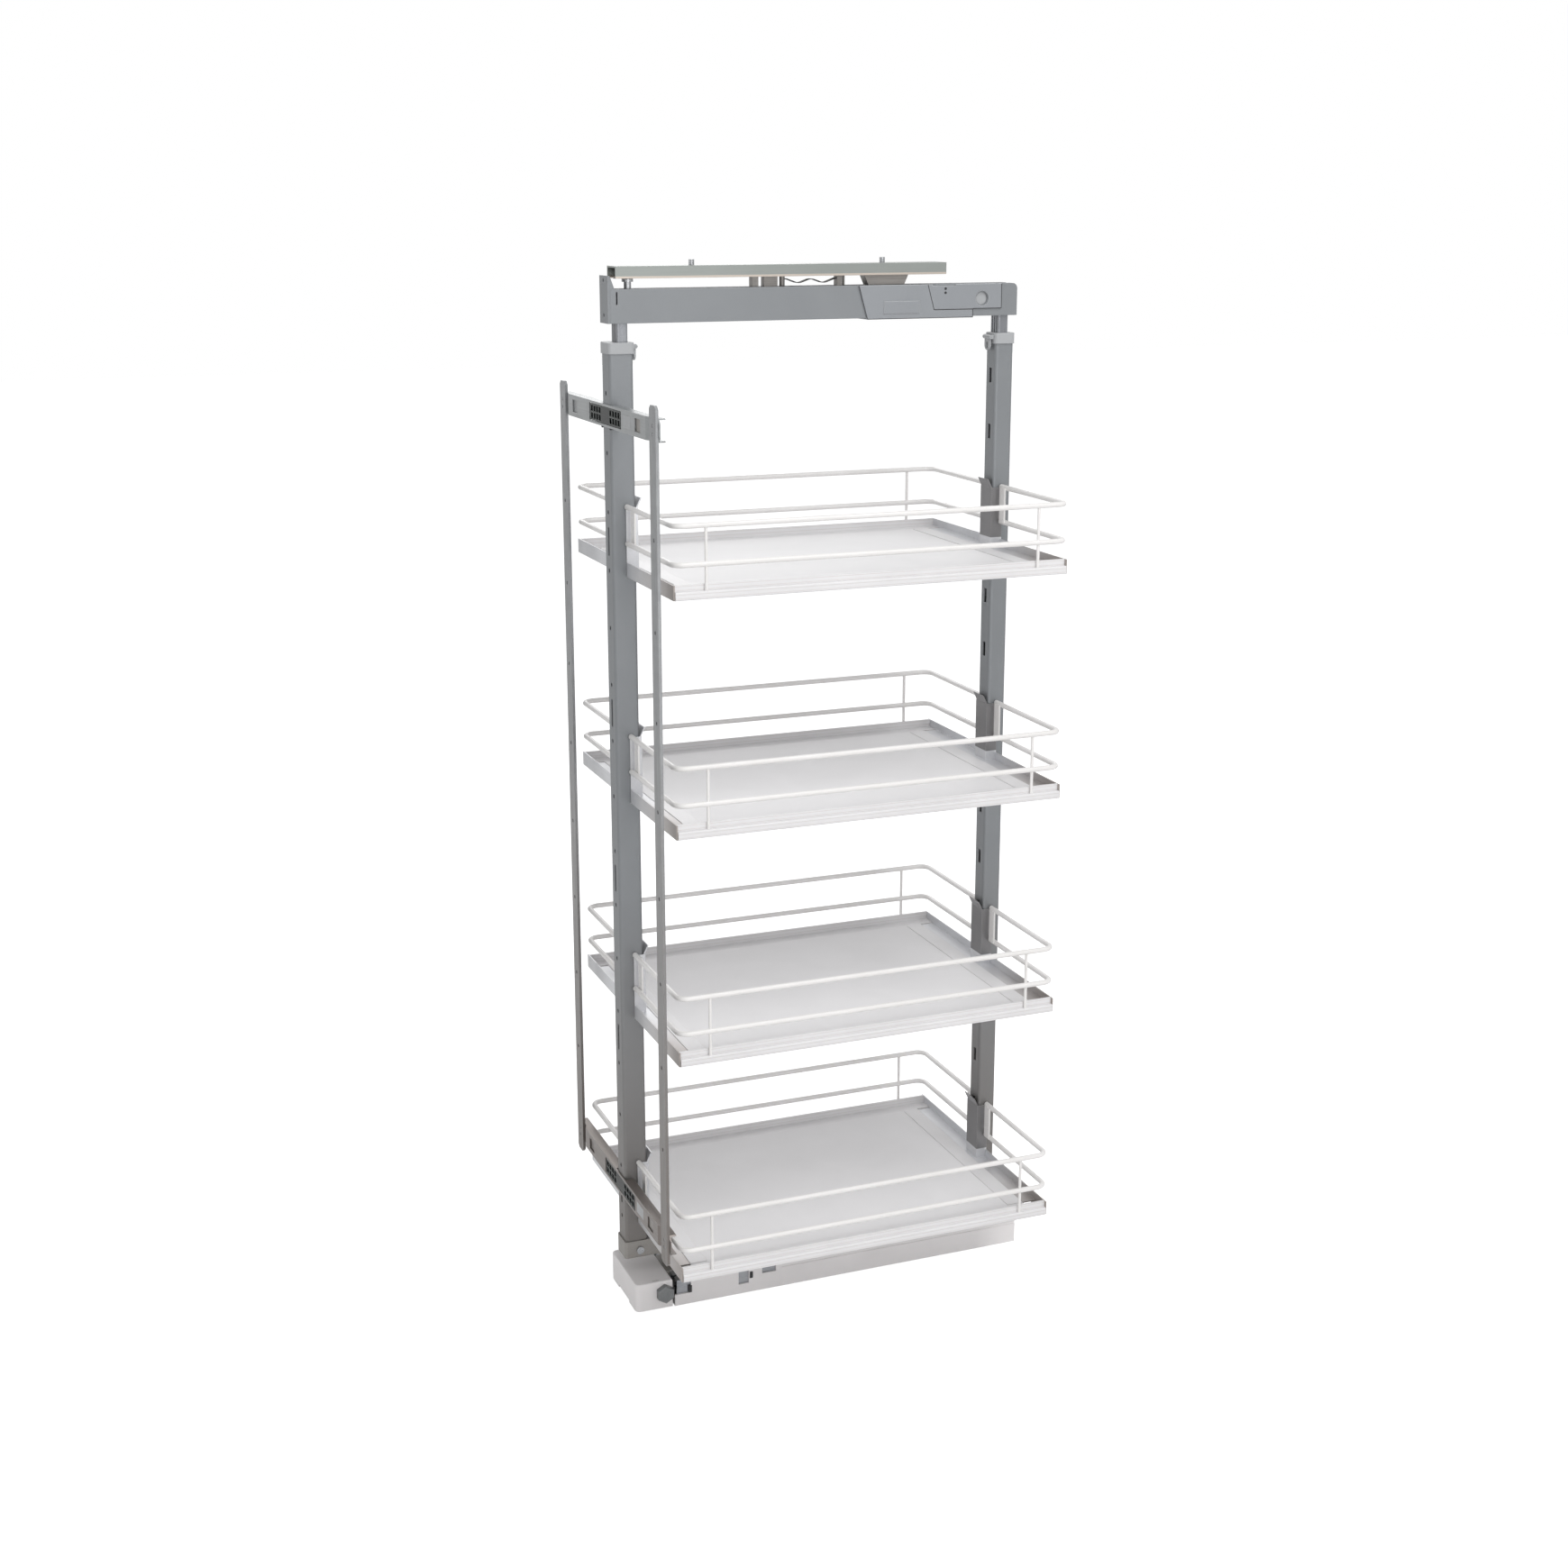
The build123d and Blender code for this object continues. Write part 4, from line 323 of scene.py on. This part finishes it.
def addBlock(shape, low, high, edge=0.0):
    size = Vector(high) - Vector(low)
    middle = (Vector(high) + Vector(low)) / 2
    place = Matrix.Translation(middle) @ Matrix.Diagonal((*size, 1.0))
    made = bmesh.ops.create_cube(shape, size=1.0, matrix=place)
    if edge:
        edges = list({e for v in made["verts"] for e in v.link_edges})
        bmesh.ops.bevel(shape, geom=edges, offset=edge, segments=2, affect="EDGES")


def screwThreadTree():  # a helix of given size, swept with a three-sided ridge
    tree = bpy.data.node_groups.new("screwThread", "GeometryNodeTree")
    for label, kind in (("Radius", "NodeSocketFloat"), ("Length", "NodeSocketFloat"),
                        ("Turns", "NodeSocketFloat"), ("Ridge", "NodeSocketFloat"),
                        ("Finish", "NodeSocketMaterial")):
        tree.interface.new_socket(label, in_out="INPUT", socket_type=kind)
    tree.interface.new_socket("Geometry", in_out="OUTPUT", socket_type="NodeSocketGeometry")
    given = tree.nodes.new("NodeGroupInput").outputs
    helix = addNode(tree, "GeometryNodeCurveSpiral",
                    {"Resolution": 14, "Rotations": given["Turns"], "Start Radius": given["Radius"],
                     "End Radius": given["Radius"], "Height": given["Length"]})
    ridge = addNode(tree, "GeometryNodeCurvePrimitiveCircle", {"Resolution": 3, "Radius": given["Ridge"]})
    swept = addNode(tree, "GeometryNodeCurveToMesh",
                    {"Curve": helix.outputs[0], "Profile Curve": ridge.outputs[0]})
    real = addNode(tree, "GeometryNodeRealizeInstances", {"Geometry": swept.outputs[0]})
    done = addNode(tree, "GeometryNodeSetMaterial",
                   {"Geometry": real.outputs[0], "Material": given["Finish"]})
    tree.links.new(done.outputs[0], tree.nodes.new("NodeGroupOutput").inputs["Geometry"])
    return tree


threadTree = screwThreadTree()


def bakedNodes(tree, values):
    holder = bpy.data.objects.new("holder", bpy.data.meshes.new("holder"))
    bpy.context.scene.collection.objects.link(holder)
    modifier = holder.modifiers.new("nodes", "NODES")
    modifier.node_group = tree
    sockets = {s.name: s.identifier for s in tree.interface.items_tree if s.in_out == "INPUT"}
    for label, value in values.items():
        modifier[sockets[label]] = value
    bpy.context.view_layer.update()
    mesh = bpy.data.meshes.new_from_object(holder.evaluated_get(bpy.context.evaluated_depsgraph_get()))
    bpy.data.objects.remove(holder)
    return mesh


def addThreads(name, body, places, axis, look):
    turned = Vector((0, 0, 1)).rotation_difference(Vector(axis)).to_matrix().to_4x4()
    joined = bmesh.new()
    for place in places:
        coil = bakedNodes(threadTree, dict(
            Radius=look["radius"], Length=look["length"], Turns=look["length"] / look["pitch"],
            Ridge=look["ridge"], Finish=materials["screw_steel"]))
        coil.transform(Matrix.Translation(place) @ turned)
        joined.from_mesh(coil)
    mesh = bpy.data.meshes.new(name)
    joined.to_mesh(mesh)
    joined.free()
    addPiece(name, mesh, "screw_steel", body)


# Threads on the rail's two screws; apart is from their middle, drop from their tips
railThread = dict(radius=0.00295, length=0.0055, pitch=0.0011, ridge=0.0003, apart=0.112, drop=0.0058)
low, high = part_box("rail_screws")
addThreads("rail_screw_threads", "top_rail",
           [(0, (low.y + high.y) / 2 + side * railThread["apart"], high.z - railThread["drop"])
            for side in (-1, 1)], (0, 0, 1), railThread)

# Threads on the two screws that shift the door frame; start is along X
adjustThread = dict(start=0.057, radius=0.00215, length=0.0043, pitch=0.001, ridge=0.00028)
for level in ("lower", "upper"):
    low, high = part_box("adjusting_screw_" + level)
    place = (adjustThread["start"], (low.y + high.y) / 2, (low.z + high.z) / 2)
    addThreads("adjusting_thread_" + level, "adjusting_screw_" + level, [place], (1, 0, 0), adjustThread)
print("threads made")

# Raised blank field on the cover
coverPlate = dict(start=0.070, end=0.114, low=1.142, high=1.156, rise=0.0006, sink=0.0003, edge=0.0002)


def buildCoverPlate(shape):
    face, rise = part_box("damper_cover")[1].x, coverPlate["rise"]
    for side in (-1, 1):
        near, far = sorted((side * (face - coverPlate["sink"]), side * (face + rise)))
        addBlock(shape, (near, coverPlate["start"], coverPlate["low"]),
                 (far, coverPlate["end"], coverPlate["high"]), coverPlate["edge"])


addPiece("cover_plates", meshFrom(buildCoverPlate, "cover_plates"), "cover_grey", "top")

# Pale discs behind the bar's sight holes
sight = dict(place=(0.1913, 1.1572), radius=0.0084, face=0.0118, thick=0.0006)


def buildSights(shape):
    for side in (-1, 1):
        middle = Vector((side * sight["face"], *sight["place"]))
        lie = Matrix.Translation(middle) @ Matrix.Rotation(math.pi / 2, 4, "Y")
        bmesh.ops.create_cone(shape, cap_ends=True, segments=40, radius1=sight["radius"],
                              radius2=sight["radius"], depth=sight["thick"], matrix=lie)


addPiece("sight_discs", meshFrom(buildSights, "sight_discs"), "grey_plastic", "top")


def plateGridTree():  # small plates in columns and rows
    tree = bpy.data.node_groups.new("plateGrid", "GeometryNodeTree")
    for label, kind in (("Columns", "NodeSocketInt"), ("Rows", "NodeSocketInt"),
                        ("Step", "NodeSocketVector"), ("Rise", "NodeSocketVector"),
                        ("Size", "NodeSocketVector"), ("Finish", "NodeSocketMaterial")):
        tree.interface.new_socket(label, in_out="INPUT", socket_type=kind)
    tree.interface.new_socket("Geometry", in_out="OUTPUT", socket_type="NodeSocketGeometry")
    given = tree.nodes.new("NodeGroupInput").outputs
    row = addNode(tree, "GeometryNodeMeshLine", {"Count": given["Columns"], "Offset": given["Step"]})
    rise = addNode(tree, "GeometryNodeMeshLine", {"Count": given["Rows"], "Offset": given["Rise"]})
    spots = addNode(tree, "GeometryNodeInstanceOnPoints",
                    {"Points": rise.outputs[0], "Instance": row.outputs[0]})
    flat = addNode(tree, "GeometryNodeRealizeInstances", {"Geometry": spots.outputs[0]})
    plate = addNode(tree, "GeometryNodeMeshCube", {"Size": given["Size"]})
    plates = addNode(tree, "GeometryNodeInstanceOnPoints",
                     {"Points": flat.outputs[0], "Instance": plate.outputs[0]})
    real = addNode(tree, "GeometryNodeRealizeInstances", {"Geometry": plates.outputs[0]})
    done = addNode(tree, "GeometryNodeSetMaterial",
                   {"Geometry": real.outputs[0], "Material": given["Finish"]})
    tree.links.new(done.outputs[0], tree.nodes.new("NodeGroupOutput").inputs["Geometry"])
    return tree


# Steel seen at the bottom of the adjusters' pockets: how many, pocket spacing, plate size, where the first
# one lies and half an adjuster's height
latticePlate = dict(columns=4, rows=2, step=0.009625, rise=0.0081, size=(0.0034, 0.0006, 0.0058),
                    first=0.0195, setback=0.0026, shift=0.0018, half=0.0089)


def addLatticePlates(body):
    tree, joined = plateGridTree(), bmesh.new()
    low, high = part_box("door_adjusters")
    half = latticePlate["half"]
    for level in (low.z + half, high.z - half):
        for side in (-1, 1):
            made = bakedNodes(tree, dict(
                Columns=latticePlate["columns"], Rows=latticePlate["rows"],
                Step=(side * latticePlate["step"], 0, 0),
                Rise=(0, 0, latticePlate["rise"]), Size=latticePlate["size"],
                Finish=materials["runner_steel"]))
            start = (side * latticePlate["first"] + latticePlate["shift"], low.y + latticePlate["setback"],
                     level - latticePlate["rise"] / 2)
            made.transform(Matrix.Translation(start))
            joined.from_mesh(made)
    mesh = bpy.data.meshes.new("lattice_plates")
    joined.to_mesh(mesh)
    joined.free()
    addPiece("lattice_plates", mesh, "runner_steel", body)


addLatticePlates("frame")

# Painted shade: dark strips in the shadow gaps and along the unlit front edges round the cover and the rear
# panels
shadeLine = dict(width=0.0007, rise=0.0001, coverSlant=0.0104, panelSlant=0.0078)


def addShadeLine(shape, side, face, path):  # strips from point to point on a side face
    size = Matrix.Diagonal((2 * shadeLine["rise"], 1.0, shadeLine["width"], 1.0))
    for (startY, startZ), (endY, endZ) in zip(path, path[1:]):
        length = math.hypot(endY - startY, endZ - startZ)
        lie = Matrix.Translation((side * face, (startY + endY) / 2, (startZ + endZ) / 2))
        lie = lie @ Matrix.Rotation(math.atan2(endZ - startZ, endY - startY), 4, "X")
        bmesh.ops.create_cube(shape, size=1.0, matrix=lie @ size @ Matrix.Diagonal((1.0, length, 1.0, 1.0)))


def buildShadeLines(shape):
    cover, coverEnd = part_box("damper_cover")
    panel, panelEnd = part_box("rear_panels")
    half = shadeLine["width"] / 2
    under = panel.z - half
    for side in (-1, 1):
        addShadeLine(shape, side, coverEnd.x, [
            (cover.y + half, coverEnd.z - half),
            (cover.y + shadeLine["coverSlant"] + half, cover.z + half),
            (coverEnd.y - half, cover.z + half),
            (coverEnd.y - half, under),
            (panel.y + shadeLine["panelSlant"] - half, under),
            (panel.y - half, coverEnd.z - half),
        ])
        addShadeLine(shape, side, panelEnd.x, [
            (coverEnd.y, panel.z + half),
            (panelEnd.y - half, panel.z + half),
            (panelEnd.y - half, panelEnd.z - half),
        ])


addPiece("cover_shade_lines", meshFrom(buildShadeLines, "cover_shade_lines"), "black_plastic", "top")

# Plates behind the crossbars' access holes; bar is the height of a crossbar
accessBack = dict(start=0.1025, end=0.1245, half=0.0084, setback=0.0017, thick=0.0006, bar=0.0242)


def buildAccessBack(shape, side):
    low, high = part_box("crossbars")
    half = accessBack["bar"] / 2
    near, far = sorted((side * accessBack["start"], side * accessBack["end"]))
    front = low.y + accessBack["setback"]
    for level in (low.z + half, high.z - half):
        addBlock(shape, (near, front, level - accessBack["half"]),
                 (far, front + accessBack["thick"], level + accessBack["half"]))


for label, side, finish in (("right", 1, "dark_steel"), ("left", -1, "zinc_steel")):
    name = "access_back_" + label
    addPiece(name, meshFrom(lambda shape: buildAccessBack(shape, side), name), finish, "door_frame")

# Flange that holds the board down at both ends of a tray
floorLip = dict(width=0.020, thick=0.0005, sink=0.0001, side=0.003, edge=0.0002)


def buildFloorLips(shape, tray):
    low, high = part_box(tray + "_floor")
    for start in (low.y, high.y - floorLip["width"]):
        addBlock(shape, (low.x + floorLip["side"], start, high.z - floorLip["sink"]),
                 (high.x - floorLip["side"], start + floorLip["width"], high.z + floorLip["thick"]),
                 floorLip["edge"])


for number in range(1, 5):
    tray = "tray_%d" % number
    mesh = meshFrom(lambda shape: buildFloorLips(shape, tray), tray + "_floor_lips")
    addPiece(tray + "_floor_lips", mesh, "tray_profile", tray)

# Black discs for the shade inside two small holes on each rear panel
panelHoleShade = dict(places=((0.1455, 1.1685), (0.1455, 1.1640)), size=0.0015, thick=0.0003)


def buildPanelHoleShade(shape):
    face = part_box("rear_panels")[1].x
    for side in (-1, 1):
        for along, level in panelHoleShade["places"]:
            lie = Matrix.Translation((side * face, along, level)) @ Matrix.Rotation(math.pi / 2, 4, "Y")
            bmesh.ops.create_cone(shape, cap_ends=True, segments=16, radius1=panelHoleShade["size"],
                                  radius2=panelHoleShade["size"], depth=panelHoleShade["thick"], matrix=lie)


addPiece("panel_hole_shade", meshFrom(buildPanelHoleShade, "panel_hole_shade"), "black_plastic", "top")

# Dark stops seen in the base's openings: across and half along X, then start, end, floor and top of each
baseClip = dict(across=0.0475, half=0.0012, edge=0.0004,
                spots=((-0.183, -0.179, 0.0142, 0.0232), (-0.106, -0.102, 0.0178, 0.0262)))


def buildBaseClips(shape):
    half = baseClip["half"]
    for start, end, floor, top in baseClip["spots"]:
        for side in (-1, 1):
            across = side * baseClip["across"]
            addBlock(shape, (across - half, start, floor), (across + half, end, top), baseClip["edge"])


addPiece("base_clips", meshFrom(buildBaseClips, "base_clips"), "black_plastic", "base")

# Clip round the post under the upper crossbar
saddle = dict(floor=1.0262, top=1.0370, wall=0.0016, reach=0.0012, depth=0.017, edge=0.0004)


def buildSaddle(shape):
    low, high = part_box("front_post")
    front, back = low.y - saddle["reach"], low.y + saddle["depth"]
    for side in (-1, 1):
        near, far = sorted((side * high.x, side * (high.x + saddle["wall"])))
        addBlock(shape, (near, front, saddle["floor"]), (far, back, saddle["top"]), saddle["edge"])


addPiece("post_saddle", meshFrom(buildSaddle, "post_saddle"), "black_plastic", "frame")
print("small pieces made")

# Stage, light and camera
# The white floor: lift is the glow that the camera sees, gloss the share of it in reflections
stageLook = dict(size=14.0, colour=(236, 236, 236), rough=0.9, lift=0.72, gloss=0.3)


def makeStage():
    half = stageLook["size"]
    mesh = meshFrom(
        lambda shape: bmesh.ops.create_grid(shape, x_segments=2, y_segments=2, size=half), "floor")
    material = bpy.data.materials.new("floorWhite")
    material.use_nodes = True
    tree = material.node_tree
    shader = tree.nodes["Principled BSDF"]
    shader.inputs["Base Color"].default_value = colour(*stageLook["colour"])
    shader.inputs["Roughness"].default_value = stageLook["rough"]
    shader.inputs["Specular IOR Level"].default_value = 0.0
    path = addNode(tree, "ShaderNodeLightPath")
    gloss = addNode(tree, "ShaderNodeMath",
                    {0: path.outputs["Is Glossy Ray"], 1: stageLook["gloss"]}, operation="MULTIPLY")
    glow = addNode(tree, "ShaderNodeMath",
                   {0: path.outputs["Is Camera Ray"], 1: stageLook["lift"], 2: gloss.outputs[0]},
                   operation="MULTIPLY_ADD")
    light = addNode(tree, "ShaderNodeEmission", {"Color": (1, 1, 1, 1), "Strength": glow.outputs[0]})
    both = addNode(tree, "ShaderNodeAddShader", {0: shader.outputs[0], 1: light.outputs[0]})
    tree.links.new(both.outputs[0], tree.nodes["Material Output"].inputs["Surface"])
    mesh.materials.append(material)
    floor = bpy.data.objects.new("floor", mesh)
    bpy.context.scene.collection.objects.link(floor)
    floor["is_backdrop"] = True


worldLook = dict(seen=1.0, fill=0.5)  # strength that camera and gloss see, and that lights the object


def makeWorld():
    world = bpy.data.worlds.new("softWhite")
    world.use_nodes = True
    tree = world.node_tree
    back = tree.nodes["Background"]
    back.inputs["Color"].default_value = (1, 1, 1, 1)
    path = addNode(tree, "ShaderNodeLightPath")
    direct = addNode(tree, "ShaderNodeMath",
                     {0: path.outputs["Is Camera Ray"], 1: path.outputs["Is Glossy Ray"]},
                     operation="MAXIMUM")
    through = addNode(tree, "ShaderNodeMath",
                      {0: direct.outputs[0], 1: path.outputs["Is Transmission Ray"]}, operation="MAXIMUM")
    level = addNode(tree, "ShaderNodeMapRange",
                    {"Value": through.outputs[0], 3: worldLook["fill"], 4: worldLook["seen"]})
    tree.links.new(level.outputs[0], back.inputs["Strength"])
    bpy.context.scene.world = world


lampAim = Vector((0, 0, 0.6))
lamps = {  # place, size in metres and watts
    "keyLamp": ((1.8, 0.4, 3.1), 1.8, 40),
    "sideLamp": ((2.8, -0.2, 0.4), 1.8, 21),
    "frontLamp": ((0.2, -3.2, 1.4), 1.6, 6),
    "leftLamp": ((-2.6, 0.4, 2.2), 1.4, 12),
}


def makeLamps():
    for name, (place, size, power) in lamps.items():
        data = bpy.data.lights.new(name, "AREA")
        data.shape, data.size, data.energy = "SQUARE", size, power
        lamp = bpy.data.objects.new(name, data)
        bpy.context.scene.collection.objects.link(lamp)
        lamp.location = place
        lamp.rotation_euler = (lampAim - Vector(place)).to_track_quat("-Z", "Y").to_euler()


# Down is in degrees, lens and sensor in millimetres
view = dict(place=(2.2679, -0.9434, 1.2716), heading=(-0.9294, 0.3690), down=14.15, lens=50.2, sensor=36.0,
            shift=-0.025)


def makeCamera():
    data = bpy.data.cameras.new("photoCamera")
    data.lens, data.sensor_width, data.shift_y = view["lens"], view["sensor"], view["shift"]
    camera = bpy.data.objects.new("photoCamera", data)
    bpy.context.scene.collection.objects.link(camera)
    camera.location = view["place"]
    level = Vector((*view["heading"], 0)).normalized()
    down = math.radians(view["down"])
    aim = level * math.cos(down) - Vector((0, 0, math.sin(down)))
    camera.rotation_euler = aim.to_track_quat("-Z", "Y").to_euler()
    bpy.context.scene.camera = camera


makeStage()
makeWorld()
makeLamps()
makeCamera()
bpy.context.scene.view_settings.view_transform = "Standard"
print("stage, light and camera made")

low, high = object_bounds()
